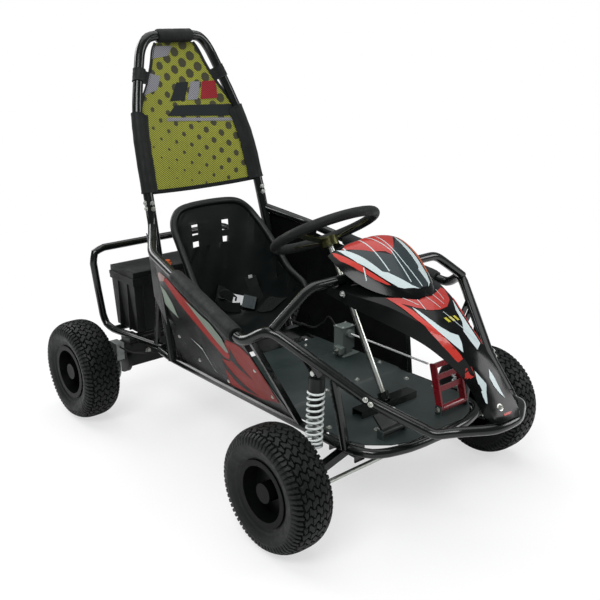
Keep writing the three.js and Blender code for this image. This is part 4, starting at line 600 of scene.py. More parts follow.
def filled(outline):
    """Points and faces that fill an outline in a plane."""
    corners = [Vector(point) for point in outline]
    border = []
    for i, corner in enumerate(corners):
        ahead = corners[(i + 1) % len(corners)]
        count = max(1, int((ahead - corner).length / PRINT_STEP))
        border += [corner.lerp(ahead, k / count) for k in range(count)]
    low = [min(p[i] for p in border) for i in range(2)]
    high = [max(p[i] for p in border) for i in range(2)]
    inner = []
    for i in range(int((high[0] - low[0]) / PRINT_STEP) + 1):
        for j in range(int((high[1] - low[1]) / PRINT_STEP) + 1):
            inner.append(Vector((low[0] + (i + 0.5) * PRINT_STEP, low[1] + (j + 0.5) * PRINT_STEP)))
    result = delaunay_2d_cdt(border + inner, [], [list(range(len(border)))], 1, 1e-4)
    return result[0], result[2]


def pressed(points, panel, axes, lift, flip):
    """Where points of a plane come to lie on a panel, with its normals. None where they miss it."""
    across, along, aim = (Vector(axis).normalized() for axis in axes)
    aim.x *= flip
    spots = []
    for point in points:
        spot = (across * point[0] + along * point[1]) / 1000 + Vector((0, FRONT_AXLE_Y / 1000, 0))
        spot.x *= flip
        spot -= aim * spot.dot(aim)
        hit, normal = surface(panel, spot - aim * PLANE_OFF, aim)
        if hit is None:
            spots.append(None)
            continue
        if normal.dot(aim) > 0:
            normal = -normal
        spots.append((hit + normal * lift, normal))
    return spots


def graphic(name, panel, outline, axes, material, lift, flip=1):
    """A printed shape or a painted highlight: its outline is in the plane of two axes, and it is pressed onto
    the panel.
    """
    points, faces = filled(outline)
    spots = pressed(points, panel, axes, lift, flip)
    for _ in range(PRINT_ROUNDS):
        total = [spot[1].copy() if spot else Vector() for spot in spots]
        for face in faces:
            met = [i for i in face if spots[i]]
            shared = sum((spots[i][1] for i in met), Vector())
            for i in met:
                total[i] += shared
        spots = [(spot[0], whole.normalized()) if spot else None for spot, whole in zip(spots, total)]
    kept = []
    for face in faces:
        if any(spots[i] is None for i in face):
            continue
        a, b, c = (spots[i][0] for i in face[:3])
        if max((a - b).length, (b - c).length, (c - a).length) > PRINT_SIDE:
            continue
        kept.append(face if (b - a).cross(c - a).dot(spots[face[0]][1]) > 0 else face[::-1])
    used = sorted({i for face in kept for i in face})
    order = {old: new for new, old in enumerate(used)}
    places = [spots[i][0] for i in used]
    faces = [[order[i] for i in face] for face in kept]
    piece = from_lists(name, places, faces, material, looks[panel]["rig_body"])
    piece.data.normals_split_custom_set_from_vertices([spots[i][1] for i in used])


# Hood and nose outlines are seen along the panel's own slope, side panel outlines from the side.
HOOD_AXES = ((1, 0, 0), (0, 1, 0), (0, 0, -1))
NOSE_AXES = ((1, 0, 0), (0, 0.774, 0.633), (0, 0.633, -0.774))
SIDE_AXES = ((0, 1, 0), (0, 0, 1), (1, 0, 0))
HOOD_SHAPES = [
    ("patch", print_red, [
        (-105, 97), (-85, 103), (-43, 96), (15, 92), (74, 90), (22, 33), (-12, 6), (-23, 20), (-54, 35),
        (-84, 71),
    ]),
    ("wedge", print_slate, [
        (-97, 80), (-84, 71), (-55, 35), (-14, 6), (22, 32), (60, 64), (52, 23), (53, -12), (50, -30),
        (38, -41), (39, -58), (39, -75), (24, -85), (-7, -87), (-20, -75), (-38, -50), (-56, -25),
        (-67, -15), (-81, 26),
    ]),
    ("blade_near", print_white, [
        (-111, 110), (-98, 81), (-81, 26), (-67, -15), (-56, -25), (-38, -50), (-20, -75), (-4, -88),
        (-45, -71), (-56, -61), (-70, -36), (-87, 1), (-103, 39), (-110, 77),
    ]),
    ("blade_far", print_white, [
        (70, 80), (60, 60), (55, 26), (55, -3), (50, -30), (38, -41), (39, -58), (39, -75), (28, -86),
        (50, -72), (66, -44), (75, -11), (76, 23), (74, 60),
    ]),
    ("stripe_far", print_orange, [
        (80, 96), (82, 60), (84, 23), (83, -9), (74, -40), (92, -28), (101, -9), (105, 23), (103, 60),
        (96, 96),
    ]),
    ("stripe_near", print_bright, [
        (-123, 112), (-119, 101), (-110, 58), (-95, 11), (-78, -26), (-68, -48), (-77, -39), (-93, -13),
        (-112, 29), (-126, 77), (-127, 101),
    ]),
]
HOOD_LINES = [
    ((-97, 99), (-104, 72)), ((-48, 92), (-51, -24)), ((-24, 93), (-5, 16)), ((-5, 16), (-17, -68)),
    ((2, 92), (7, -84)), ((-99, 21), (-108, 0)),
]
NOSE_SHAPES = [
    ("red", print_red, [
        (-91, 340), (-71, 327), (-31, 302), (29, 298), (94, 322), (104, 316), (72, 273), (37, 252), (6, 249),
        (-23, 256), (-53, 279), (-77, 307), (-88, 319),
    ]),
    ("crease", print_bright, [
        (-88, 319), (-77, 307), (-66, 274), (-61, 237), (-55, 207), (-52, 179), (-47, 141), (-43, 104),
        (-46, 105), (-53, 140), (-62, 183), (-71, 216), (-79, 251), (-84, 291),
    ]),
    ("blade_near", print_white, [
        (-60, 284), (-54, 268), (-47, 238), (-38, 203), (-26, 178), (-11, 163), (-19, 143), (-35, 117),
        (-44, 149), (-51, 183), (-57, 223), (-61, 262),
    ]),
    ("blade_far", print_white, [
        (84, 272), (64, 228), (51, 184), (36, 124), (9, 110), (9, 137), (14, 169), (38, 196), (55, 236),
    ]),
    ("edge_far", print_bright, [
        (90, 280), (67, 226), (55, 184), (40, 122), (43, 122), (60, 184), (74, 226), (94, 276),
    ]),
    ("mark", print_red, [(-43, 83), (-38, 78), (-42, 51), (-45, 56)]),
    ("low_near", print_white, [
        (-36, 66), (-30, 47), (-22, 27), (-32, 11), (-43, -14), (-47, -12), (-46, 16), (-42, 46),
    ]),
    ("low_far", print_white, [(7, 57), (12, 38), (13, 18), (16, -6), (18, -19), (8, -6), (-1, 14), (-4, 37)]),
    ("tip", print_red, [(-13, -51), (16, -52), (6, -58), (-14, -56)]),
]
NOSE_LINES = [
    ((-60, 322), (-40, 282)), ((-26, 312), (-34, 262)), ((2, 308), (12, 254)),
    ((30, 308), (34, 262)), ((62, 316), (50, 276)), ((8, 240), (30, 128)),
]
NOSE_BARS = [
    [(-8, 222), (1, 222), (4, 206), (-5, 206)], [(8, 221), (17, 221), (20, 205), (11, 205)],
    [(24, 220), (33, 220), (36, 204), (27, 204)],
]
SIDE_SHAPES = [
    ("corner", print_pink, [(688, 546), (666, 555), (632, 549), (649, 531), (686, 521)]),
    # The sheen shape is a painted highlight: a pale green patch along the panel's rear border, where light
    # glances off the black panel.
    ("sheen", side_pale, [(684, 512), (650, 500), (618, 470), (600, 425), (640, 436), (680, 452)]),
    ("stripe", side_bright, [
        (647, 534), (626, 548), (567, 528), (435, 484), (340, 430), (318, 388), (349, 370), (372, 375),
        (446, 422), (565, 483),
    ]),
    ("blade", side_pale, [
        (516, 506), (466, 497), (375, 476), (327, 447), (318, 403), (338, 398), (392, 432), (452, 470),
    ]),
    ("patch", side_red, [
        (300, 452), (204, 465), (160, 450), (152, 419), (146, 365), (153, 298), (255, 268), (347, 259),
        (417, 258), (404, 312), (387, 360), (341, 366), (316, 392), (322, 430),
    ]),
    ("swoosh_a", side_black, [(297, 430), (289, 383), (240, 340), (300, 357), (336, 378), (318, 396)]),
    ("swoosh_b", side_black, [
        (394, 357), (363, 320), (324, 290), (264, 275), (325, 268), (364, 282), (398, 318),
    ]),
    ("line", print_white, [(562, 371), (506, 347), (480, 283), (468, 274), (482, 289), (504, 353)]),
]

# How far prints stand off their panels, in metres. Those that lie over others stand further off.
HOOD_LIFT, HOOD_LINE_LIFT = 0.0008, 0.0014
NOSE_LIFT, NOSE_LINE_LIFT, NOSE_BAR_LIFT = 0.0009, 0.0016, 0.0012
NOSE_LIFTS = {"crease": 0.0014, "edge_far": 0.0014}
SIDE_LIFT = 0.0011
SIDE_LIFTS = {"stripe": 0.0014, "blade": 0.0019, "swoosh_a": 0.0017, "swoosh_b": 0.0017}


def thin(line, half):
    """The outline of a line, of twice the given half width."""
    (x, y), (to_x, to_y) = line
    return [(x - half, y), (x + half, y), (to_x + half, to_y), (to_x - half, to_y)]


def graphics():
    for name, material, outline in HOOD_SHAPES:
        graphic("hood_" + name, "hood", outline, HOOD_AXES, material, HOOD_LIFT)
    for i, line in enumerate(HOOD_LINES):
        graphic(f"hood_line_{i}", "hood", thin(line, 1.5), HOOD_AXES, print_white, HOOD_LINE_LIFT)
    for name, material, outline in NOSE_SHAPES:
        lift = NOSE_LIFTS.get(name, NOSE_LIFT)
        graphic("nose_" + name, "nose_cone", outline, NOSE_AXES, material, lift)
    for i, line in enumerate(NOSE_LINES):
        graphic(f"nose_line_{i}", "nose_cone", thin(line, 1), NOSE_AXES, print_white, NOSE_LINE_LIFT)
    for i, outline in enumerate(NOSE_BARS):
        graphic(f"nose_bar_{i}", "nose_cone", outline, NOSE_AXES, print_yellow, NOSE_BAR_LIFT)
    for side, sign in SIDES:
        for name, material, outline in SIDE_SHAPES:
            lift = SIDE_LIFTS.get(name, SIDE_LIFT)
            graphic(f"side_{name}_{side}", "side_panel_" + side, outline, SIDE_AXES, material, lift, -sign)


graphics()


# Tyres with a tread of interlocking blocks in the middle and lugs on the shoulders, in millimetres

TREAD_BLOCKS = 46
TREAD_PITCH = 2 * math.pi * TYRE_RADIUS / TREAD_BLOCKS
LUGS = 69
LUG_PITCH = 2 * math.pi * TYRE_RADIUS / LUGS
TREAD_DEPTH = 7.0
ROW_WIDTH = 21.0
SHOULDER = 42
CROWN_HALF = 56
CROWN_DROP = 17
WALL_BULGE = 4.6
WALL_DRAW = 10.5
# How far a block's bars bend, as a share of a block
BAR_BEND = 0.27
# Where the edges of blocks and lugs start and end, from the middle of the groove
BAR_EDGE = (1.2, 2.5)
RING_EDGE = (0.35, 1.1)
LUG_EDGE = (1.5, 3.2)
SHOULDER_EDGE = (0.5, 1.5)


def eased(value, low, high):
    share = np.clip((value - low) / (high - low), 0, 1)
    return share * share * (3 - 2 * share)


def smooth_step(value, low, high):
    return float(eased(value, low, high))


def triangle(value):
    """A zigzag from -1 to 1 with a period of 1."""
    return np.abs((value % 1) * 4 - 2) - 1


def tread_height(turn, across):
    """How proud the rubber is at a share of a turn and a place across, from 0 in a groove to 1."""
    bar = turn * TREAD_BLOCKS + BAR_BEND * triangle(across / ROW_WIDTH + 0.25)
    bar_groove = np.minimum(bar % 1, 1 - bar % 1) * TREAD_PITCH
    shift = (np.floor(bar) % 2) * 0.5
    ring_groove = np.abs(((across / ROW_WIDTH + shift) % 1) - 0.5) * ROW_WIDTH
    blocks = np.minimum(eased(bar_groove, *BAR_EDGE), eased(ring_groove, *RING_EDGE))
    lug = (turn * LUGS + 0.10 * (np.abs(across) - 40) / 8) % 1
    lug_groove = np.minimum(lug, 1 - lug) * LUG_PITCH
    edge = np.abs(across) - SHOULDER + 2.0 * triangle(turn * TREAD_BLOCKS)
    blocks = np.minimum(blocks, eased(-edge, *SHOULDER_EDGE))
    lugs = np.minimum(eased(lug_groove, *LUG_EDGE), eased(edge, *SHOULDER_EDGE))
    return np.where(edge < 0, blocks, lugs)


def tyre_profile():
    """Radius, place across, pattern place and pattern share of each point from bead to bead."""
    tread, flank = 76, 20
    crown = []
    for i in range(tread + 1):
        across = CROWN_HALF * (2 * i / tread - 1)
        radius = TYRE_RADIUS - CROWN_DROP * (abs(across) / CROWN_HALF) ** 3.1
        crown.append((radius, across, across, 1.0))
    top = TYRE_RADIUS - CROWN_DROP
    foot = FLANGE_RADIUS + 0.5

    def wall(side):
        points = []
        for i in range(1, flank + 1):
            share = i / flank
            radius = top - (top - foot) * share
            bulge = WALL_BULGE * math.sin(math.pi * min(1, share * 1.2)) - WALL_DRAW * share ** 2.2
            ring = 0.8 if 0.33 < share < 0.38 else (1.3 if 0.78 < share < 0.86 else 0)
            fade = 1 - smooth_step(share, 0.12, 0.32)
            across = side * (CROWN_HALF + bulge + ring)
            points.append((radius, across, side * (CROWN_HALF + 30 * share), fade))
        points.append((foot, side * 44, side * 90, 0.0))
        points.append((BEAD_RADIUS + 1, side * 40, side * 90, 0.0))
        return points

    return np.array(wall(-1)[::-1] + crown + wall(1))


def tyre_shape(around=720):
    """Points and faces of a tyre round the origin, in metres."""
    radius, across, pattern, share = tyre_profile().T
    slope = np.gradient(np.stack([radius, across]), axis=1)
    length = np.hypot(*slope)
    out_radius, out_across = slope[1] / length, -slope[0] / length
    turn = np.arange(around)[:, None] / around
    depth = TREAD_DEPTH * (1 - tread_height(turn, pattern[None, :])) * share[None, :]
    angle = turn * 2 * math.pi
    r = (radius - depth * out_radius) / 1000
    x = (across - depth * out_across * 0.6) / 1000
    points = np.stack([x, r * np.cos(angle), r * np.sin(angle)], axis=-1).reshape(-1, 3)
    count = len(radius)
    ring = np.arange(around)[:, None] * count
    ahead = np.roll(ring, -1, axis=0)
    i = np.arange(count - 1)[None, :]
    faces = np.stack([ring + i, ahead + i, ahead + i + 1, ring + i + 1], axis=-1).reshape(-1, 4)
    return points, faces


def tyres():
    points, faces = tyre_shape()
    for end in ("front", "rear"):
        for side, _ in SIDES:
            node = f"{end}_tyre_{side}"
            low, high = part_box(node)
            moved = points + np.array((low + high) / 2)
            shown_for(node, moved.tolist(), faces.tolist(), tyre_rubber, 42)


tyres()


# Soft pieces

PAD_RINGS = 72
PAD_SIDES = 40


def swept(name, centres, section, material):
    """A closed skin through copies of a section along a line. section(share) gives pairs (inward, out)."""
    last = len(centres) - 1
    rings = []
    for i, centre in enumerate(centres):
        along = (centres[min(i + 1, last)] - centres[max(i - 1, 0)]).normalized()
        inward = Vector((0, 0, 1)) if abs(along.x) > 0.9 else Vector((-1 if centre.x > 0 else 1, 0, 0))
        out = along.cross(inward).normalized()
        inward = out.cross(along).normalized()
        rings.append([centre + inward * a + out * b for a, b in section(i / last)])
    return skin(name, rings, material)


def between(items, spot):
    """The smooth line through the items, at a fractional place along them."""
    k = min(int(spot), len(items) - 2)
    t = spot - k
    near = [Vector(items[min(max(k + i, 0), len(items) - 1)]) for i in (-1, 0, 1, 2)]
    weights = (
        (2 * t * t - t - t ** 3) / 2, 1 - 2.5 * t * t + 1.5 * t ** 3,
        (t + 4 * t * t - 3 * t ** 3) / 2, (t ** 3 - t * t) / 2,
    )
    return sum((item * weight for item, weight in zip(near, weights)), Vector())


def resampled(points, count):
    """Points at even steps along a bent line."""
    points = [place(*p) for p in points]
    lengths = [0.0]
    for a, b in zip(points, points[1:]):
        lengths.append(lengths[-1] + (b - a).length)
    result = []
    for i in range(count):
        target = lengths[-1] * i / (count - 1)
        k = max(j for j in range(len(points) - 1) if lengths[j] <= target + 1e-9)
        share = (target - lengths[k]) / max(lengths[k + 1] - lengths[k], 1e-9)
        result.append(points[k].lerp(points[k + 1], share))
    return result


def foam_pad(node, points, radius):
    """A foam pad round a tube: full in the middle, pulled in at its ends, with a seam and soft dents."""
    name = node + "_look"

    def section(share):
        full = radius * (0.9 + 0.1 * smooth_step(min(share, 1 - share) * PAD_RINGS, 0, 2.5))
        ring = []
        for k in range(PAD_SIDES):
            angle = 2 * math.pi * k / PAD_SIDES
            spot = Vector((share * 14, math.cos(angle) * 1.2, math.sin(angle) * 1.2 + len(name)))
            dent = 0.0006 * noise.noise(spot * 1.6)
            seam = -0.0012 * math.exp(-((angle - math.pi) / 0.07) ** 2)
            r = full + dent + seam
            ring.append((r * math.cos(angle), r * math.sin(angle)))
        return ring

    piece = swept(name, resampled(points, PAD_RINGS), section, pad_foam)
    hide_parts(node)


foam_pad("hoop_pad", [(-64, 1010.6, 1217), (64, 1010.6, 1217)], 0.0216)
for side, sign in SIDES:
    foam_pad("arm_pad_" + side, [(sign * 330.8, 541.6, 574.0), (sign * 382.2, 188.6, 507.5)], 0.0222)

# Headrest: an open mesh panel held by two long sleeves, two short ones and black tape on its edges.
# Each row gives the half width, the place behind the front axle and the height.
HEADREST_ROWS = [
    (214, 863.2, 750.9), (212.3, 884.8, 826.8), (204.2, 913.7, 913.9), (178.5, 948.3, 1004.5),
    (137.4, 970.3, 1070.4), (109.5, 987.9, 1124.2), (90.4, 1002.9, 1171.7), (74, 1008.5, 1196),
]
SLEEVE_LINE = [
    (215.6, 863.2, 750.9), (213.9, 874.2, 789.8), (212.2, 885.3, 828.7), (209.5, 897.2, 867.3),
    (205.4, 910.5, 905.3), (199.7, 925.1, 942.7), (192.2, 939.3, 979.8), (190.4, 941.9, 987),
]
STRAP_LINE = [(161.2, 974.1, 1081), (154.8, 980.1, 1099), (148.4, 986.2, 1117)]
# How far the mesh bows back and how far its foot hangs down, in millimetres, and half the tape's thickness
SAG = 9.0
DROOP = 7
HEM = 0.0011


def headrest_point(across, rise, lift=0.0):
    """A point of the mesh at a place across, from -1 to 1, and a share of the way up."""
    half, back, height = between(HEADREST_ROWS, rise * (len(HEADREST_ROWS) - 1))
    droop = -DROOP * (1 - across * across) * (1 - rise) ** 8
    ripple = 1.2 * noise.noise(Vector((across * 2.5, rise * 4, 0)))
    return place(across * half, back + SAG * (1 - across * across) + ripple + lift, height + droop)


def patch(name, grid, material, thickness=0.0):
    """A skin over a grid of points."""
    made = bmesh.new()
    rows = [[made.verts.new(point) for point in row] for row in grid]
    for first, second in zip(rows, rows[1:]):
        for i in range(len(first) - 1):
            made.faces.new((first[i], first[i + 1], second[i + 1], second[i]))
    if thickness:
        bmesh.ops.recalc_face_normals(made, faces=made.faces)
        bmesh.ops.solidify(made, geom=made.faces[:], thickness=thickness)
    return from_bmesh(name, made, material)


def tape(name, line, width):
    """Folded edge tape: a flat band along points of the mesh, on both of its faces."""
    section = [(width / 2, HEM), (width / 2, -HEM), (-width / 2, -HEM), (-width / 2, HEM)]
    centres = [headrest_point(across, rise) for across, rise in line]
    return swept(name, centres, lambda share: section, sleeve_cloth)


# Plain printed shapes on the mesh, just in front of it: the corners as for headrest_point.
BADGE_LIFT = -1.7
BADGES = [
    ("bar_dark", mesh_black, [(-0.42, 0.375), (0.965, 0.35), (0.965, 0.41), (-0.24, 0.425)]),
    ("line_low", mesh_grey, [(-0.46, 0.352), (0.965, 0.325), (0.965, 0.340), (-0.44, 0.367)]),
    ("slant_dark", mesh_black, [(-0.34, 0.45), (-0.02, 0.45), (0.20, 0.575), (-0.14, 0.575)]),
    ("slant_grey", mesh_grey, [(0.04, 0.45), (0.28, 0.45), (0.52, 0.575), (0.26, 0.575)]),
    ("slant_red", mesh_red, [(0.34, 0.45), (0.72, 0.45), (0.94, 0.575), (0.58, 0.575)]),
    ("corner_high", mesh_grey, [(-0.96, 0.78), (-0.30, 0.80), (-0.05, 0.92), (-0.96, 0.92)]),
    ("corner_low", mesh_grey, [(-0.96, 0.50), (-0.66, 0.53), (-0.60, 0.63), (-0.96, 0.66)]),
]


def badge(name, material, corners):
    low_left, low_right, high_right, high_left = (Vector(corner) for corner in corners)
    grid = []
    for j in range(7):
        start, end = low_left.lerp(high_left, j / 6), low_right.lerp(high_right, j / 6)
        grid.append([headrest_point(*start.lerp(end, i / 24), BADGE_LIFT) for i in range(25)])
    return patch("headrest_" + name, grid, material)


# The sleeves' sections: their points, the angle from the seam at which they leave the tube, and their folds
SLEEVE_SIDES = 30
SLEEVE_GAP = 35
SLACK = 0.0012


def teardrop(radius, tail):
    """Section of a sleeve: round the tube, drawn in to a flat seam."""

    def section(share):
        ring = []
        for k in range(SLEEVE_SIDES):
            angle = math.radians(SLEEVE_GAP + (360 - 2 * SLEEVE_GAP) * k / (SLEEVE_SIDES - 1))
            fold = SLACK * noise.noise(Vector((share * 7, k / 6, radius * 900)))
            hem = 0.0009 if min(share, 1 - share) < 0.03 else 0.0
            r = radius + fold + hem
            ring.append((r * math.cos(angle), r * math.sin(angle)))
        pull = 0.003 * noise.noise(Vector((share * 9, 3, 1)))
        root, tip = tail * 0.6 + pull, tail + pull
        ring += [(root, -0.0045), (tip, -0.0012), (tip, 0.0012), (root, 0.0045)]
        return ring

    return section


def headrest():
    rows, columns = 56, 44
    spread = [-1 + 2 * column / columns for column in range(columns + 1)]
    grid = [[headrest_point(across, row / rows) for across in spread] for row in range(rows + 1)]
    panel = patch("headrest_panel", grid, mesh_cloth)
    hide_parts("headrest_mesh")
    bottom = [(-1 + 2 * i / 40, 0.004) for i in range(41)]
    hems = [tape("headrest_hem_low", bottom, 0.013)]
    hems += [badge(*row) for row in BADGES]
    for side, sign in SIDES:
        edge = [(sign * 0.965, 0.42 + 0.57 * i / 24) for i in range(25)]
        hems.append(tape("headrest_hem_" + side, edge, 0.010))
        for name, line, count, radius, tail in (
            ("sleeve_", SLEEVE_LINE, 60, 0.0196, 0.036),
            ("strap_", STRAP_LINE, 14, 0.0198, 0.034),
        ):
            points = resampled([(sign * x, y, z) for x, y, z in line], count)
            swept(name + side, points, teardrop(radius, tail), sleeve_cloth)


headrest()

# The rear corner of each side panel, up to the leg of the roll hoop
CORNER_TOP = ((306, 682, 592), (241, 846, 630))
CORNER_FOOT = ((284, 678, 380), (258, 790, 440))


def panel_corner(side, sign):
    top = [Vector((sign * x, y, z)) for x, y, z in CORNER_TOP]
    foot = [Vector((sign * x, y, z)) for x, y, z in CORNER_FOOT]
    grid = []
    for i in range(9):
        high, low = top[0].lerp(top[1], i / 8), foot[0].lerp(foot[1], i / 8)
        grid.append([place(*high.lerp(low, j / 8)) for j in range(9)])
    patch("panel_corner_" + side, grid, panel_black, 0.003)


for side, sign in SIDES:
    panel_corner(side, sign)

# Belt and buckle
BELT_WIDTH = 0.038
RIBBON_STEPS = 12
BAND = [(u, 1) for u in (-1, -0.5, 0, 0.5, 1)] + [(u, -1) for u in (1, 0.5, 0, -0.5, -1)]


def ribbon(name, points, width_axis, width, material, thickness=0.0022):
    """A webbing strap: a band through smooth points, as wide as given along an axis."""
    points = [place(*point) for point in points]
    count = RIBBON_STEPS * (len(points) - 1)
    line = [between(points, i / RIBBON_STEPS) for i in range(count + 1)]
    length = sum((b - a).length for a, b in zip(line, line[1:]))
    rings = []
    for i, at in enumerate(line):
        along = (line[min(i + 1, count)] - line[max(i - 1, 0)]).normalized()
        side = (width_axis - along * width_axis.dot(along)).normalized()
        crown = along.cross(side) * (thickness / 2)
        rings.append([at + side * (u * width / 2) + crown * v for u, v in BAND])
    piece = skin(name, rings, material)


for side, _ in SIDES:
    belt = refined("belt_" + side, belt_web)

TONGUE_SIDE = Vector((0.1, -0.35, 0.93))
TAIL_SIDE = Vector((0.80, -0.60, 0))
ribbon("belt_loop", [
    (62, 799, 349), (44, 806, 366), (22, 806, 384), (8, 812, 374), (16, 806, 352), (40, 796, 336),
    (66, 780, 334),
], TONGUE_SIDE, BELT_WIDTH, belt_web)
ribbon("belt_tail", [
    (128, 752, 346), (120, 754, 372), (110, 758, 400), (104, 762, 424), (101, 764, 440),
], TAIL_SIDE, BELT_WIDTH, belt_web)
ribbon("belt_tip", [
    (100.6, 762, 436), (100.2, 763, 441), (99.8, 764, 446),
], TAIL_SIDE, BELT_WIDTH * 0.35, belt_edge, 0.0034)


def second_material(node, material, chosen):
    """Gives a second material to the faces of a node's piece whose middle is chosen."""
    mesh = looks[node].data
    mesh.materials.append(material)
    for face in mesh.polygons:
        if chosen(face.center):
            face.material_index = 1


# Where the buckle's plastic part and the wheel's foam grip lie
BUCKLE_AT = place(93.549, 764.3574, 351.7536)
BUCKLE_ALONG, BUCKLE_RISE = Vector((0.7397, -0.6332, -0.2279)), Vector((0.3789, 0.1121, 0.9186))
RING_CENTRE = place(0, 277, 701)
RING_AXIS = Vector((0, 0.5, 0.8660254))
RING_RADIUS = 0.148
GRIP_RADIUS = 0.0165


def on_tongue(spot):
    spot = spot - BUCKLE_AT
    return spot.dot(BUCKLE_ALONG) < -0.0219 or spot.dot(BUCKLE_RISE) < -0.0209


def inside_ring(spot):
    """True for the wheel's spokes and hub."""
    spot = spot - RING_CENTRE
    rise = spot.dot(RING_AXIS)
    flat = math.sqrt(max(0, spot.length_squared - rise * rise))
    return math.hypot(flat - RING_RADIUS, rise) > GRIP_RADIUS


refined("belt_buckle", grey_plastic)
second_material("belt_buckle", painted_glare_white, on_tongue)
second_material("steering_wheel", olive_zinc, inside_ring)


# Springs: an even coil with closed ends
SPRING_RADIUS = 0.0205
SPRING_WIRE = 0.0030
SPRING_TURNS = 9.5
SPRING_STEPS = 30
WIRE_SIDES = 14


def spring(side):
    node = "shock_spring_" + side
    low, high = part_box(node)
    slide = next(joint for joint in frame["joints"] if joint["name"] == f"shock_rod_{side}_slide")
    axis = Vector(slide["axis"]).normalized()
    middle = (low + high) / 2
    half = ((high.z - low.z) / 2 - SPRING_WIRE - 0.0012) / axis.z
    across = axis.cross(Vector((0, 1, 0))).normalized()
    other = axis.cross(across)
    count = int(SPRING_TURNS * SPRING_STEPS)
    rings = []
    for i in range(count + 1):
        share = i / count
        angle = share * SPRING_TURNS * 2 * math.pi
        rise = min(max((share - 0.06) / 0.88, 0), 1) + 0.02 * (share - 0.5)
        out = across * math.cos(angle) + other * math.sin(angle)
        centre = middle + axis * ((rise * 2 - 1) * half * 0.975) + out * SPRING_RADIUS
        wire = [2 * math.pi * k / WIRE_SIDES for k in range(WIRE_SIDES)]
        rings.append([centre + (out * math.cos(a) + axis * math.sin(a)) * SPRING_WIRE for a in wire])
    piece = skin(node + "_look", rings, spring_white, body_name(node), None)
    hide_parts(node)
    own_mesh(piece)


for side, _ in SIDES:
    spring(side)

# Seat lip: the shell's edge rolled outwards. Each point is half the lip, from its front to its top.
SEAT_LIP = [
    (-110.4, 659.0, 291.6), (-147.2, 638.0, 329.2), (-173.0, 608.0, 373.1), (-184, 572.0, 414.9),
    (-185.8, 584.0, 437.9), (-184, 659.0, 475.5), (-177.6, 714.5, 536.1), (-169.3, 770.0, 594.7),
    (-160.1, 809.0, 632.3), (-147.2, 830.0, 658.2), (-125.1, 843.5, 678.3), (-88.3, 849.5, 690.0),
]
SEAT_LIP += [(-x, y, z) for x, y, z in reversed(SEAT_LIP)]
SEAT_LIP_RADIUS = 0.0115

# Brake hose: its route repeats the solid's
HOSE_RADIUS = 0.003
HOSE = [
    (178, 402.8, 305), (178, 416, 306), (184, 436, 340), (192, 470, 352), (204, 510, 320), (211, 560, 288),
    (211, 600, 282), (211, 640, 281), (211, 700, 281), (200, 770, 279), (188, 812, 264), (184, 850, 260),
    (178, 868, 240), (150, 866, 224), (60, 866, 223), (-60, 866, 223), (-180, 866, 223), (-240, 872, 222),
    (-290, 905, 226), (-300, 935, 231), (-303, 943.3, 233.1), (-303, 952.3, 233.1),
]


def centripetal(points, steps):
    """Points along the smooth line through the given ones, with no loops at uneven gaps."""
    line = []
    for k in range(len(points) - 1):
        b, c = points[k], points[k + 1]
        a = points[k - 1] if k else b * 2 - c
        d = points[k + 2] if k + 2 < len(points) else c * 2 - b
        t0 = 0.0
        t1 = t0 + math.sqrt((b - a).length)
        t2 = t1 + math.sqrt((c - b).length)
        t3 = t2 + math.sqrt((d - c).length)
        for i in range(steps):
            t = t1 + (t2 - t1) * i / steps
            ab = a.lerp(b, (t - t0) / (t1 - t0))
            bc = b.lerp(c, (t - t1) / (t2 - t1))
            cd = c.lerp(d, (t - t2) / (t3 - t2))
            abc = ab.lerp(bc, (t - t0) / (t2 - t0))
            bcd = bc.lerp(cd, (t - t1) / (t3 - t1))
            line.append(abc.lerp(bcd, (t - t1) / (t2 - t1)))
    return line + [points[-1]]


def tube(name, line, radius, material, body="chassis"):
    """A curve through points, with a round section."""
    data = bpy.data.curves.new(name, "CURVE")
    data.dimensions = "3D"
    data.bevel_depth = radius
    data.bevel_resolution = 4
    data.use_fill_caps = True
    path = data.splines.new("POLY")
    path.points.add(len(line) - 1)
    for point, spot in zip(path.points, line):
        point.co = (*spot, 1)
    path.use_smooth = True
    return link(name, data, material, body)


tube("seat_lip", centripetal([place(*point) for point in SEAT_LIP], 8), SEAT_LIP_RADIUS, seat_plastic)
hose_line = centripetal([place(*point) for point in HOSE], 10)
hose_length = sum((b - a).length for a, b in zip(hose_line, hose_line[1:]))
hose = tube("brake_hose_look", hose_line, HOSE_RADIUS, hose_rubber, body_name("brake_hose"))
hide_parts("brake_hose")
tuple(hose_line[0])


# Screws, bolts and other small fittings

# Profiles of the heads: pairs of reach and rise, as shares of the screw's radius
HEADS = {
    "dome": (20, [
        (1.55, -0.2), (1.55, 0.12), (1.45, 0.2), (1.0, 0.2), (0.98, 0.5), (0.85, 0.78), (0.6, 0.9),
        (0.42, 0.92), (0.40, 0.5),
    ]),
    "hex": (6, [(1.35, -0.2), (1.35, 0.15), (1.0, 0.16), (1.0, 0.85), (0.88, 1.0), (0.5, 1.02)]),
}


def turned(at, axis, profile, sides, start=0.0):
    """Rings of places round an axis, one for each pair of radius and rise in metres."""
    axis = Vector(axis).normalized()
    side = axis.orthogonal().normalized()
    other = axis.cross(side)
    angles = [2 * math.pi * (k + start) / sides for k in range(sides)]
    around = [side * math.cos(angle) + other * math.sin(angle) for angle in angles]
    return [[at + axis * rise + out * radius for out in around] for radius, rise in profile]


def fasteners(name, places):
    """One piece that holds screws of the chassis. Each place is a point, an axis, a radius and a kind."""
    made = bmesh.new()
    for at, axis, radius, kind in places:
        sides, profile = HEADS[kind]
        scaled = [(radius * reach, radius * rise) for reach, rise in profile]
        add_skin(made, turned(at, axis, scaled, sides, 0.5))
    from_bmesh(name, made, zinc, sharp=32)


def seated(places, piece, at, direction, radius, kind):
    """A screw where a ray from beside the piece meets it, facing back along the ray."""
    hit, _ = surface(piece, place(*at), direction)
    if hit:
        places.append((hit, -Vector(direction), radius, kind))


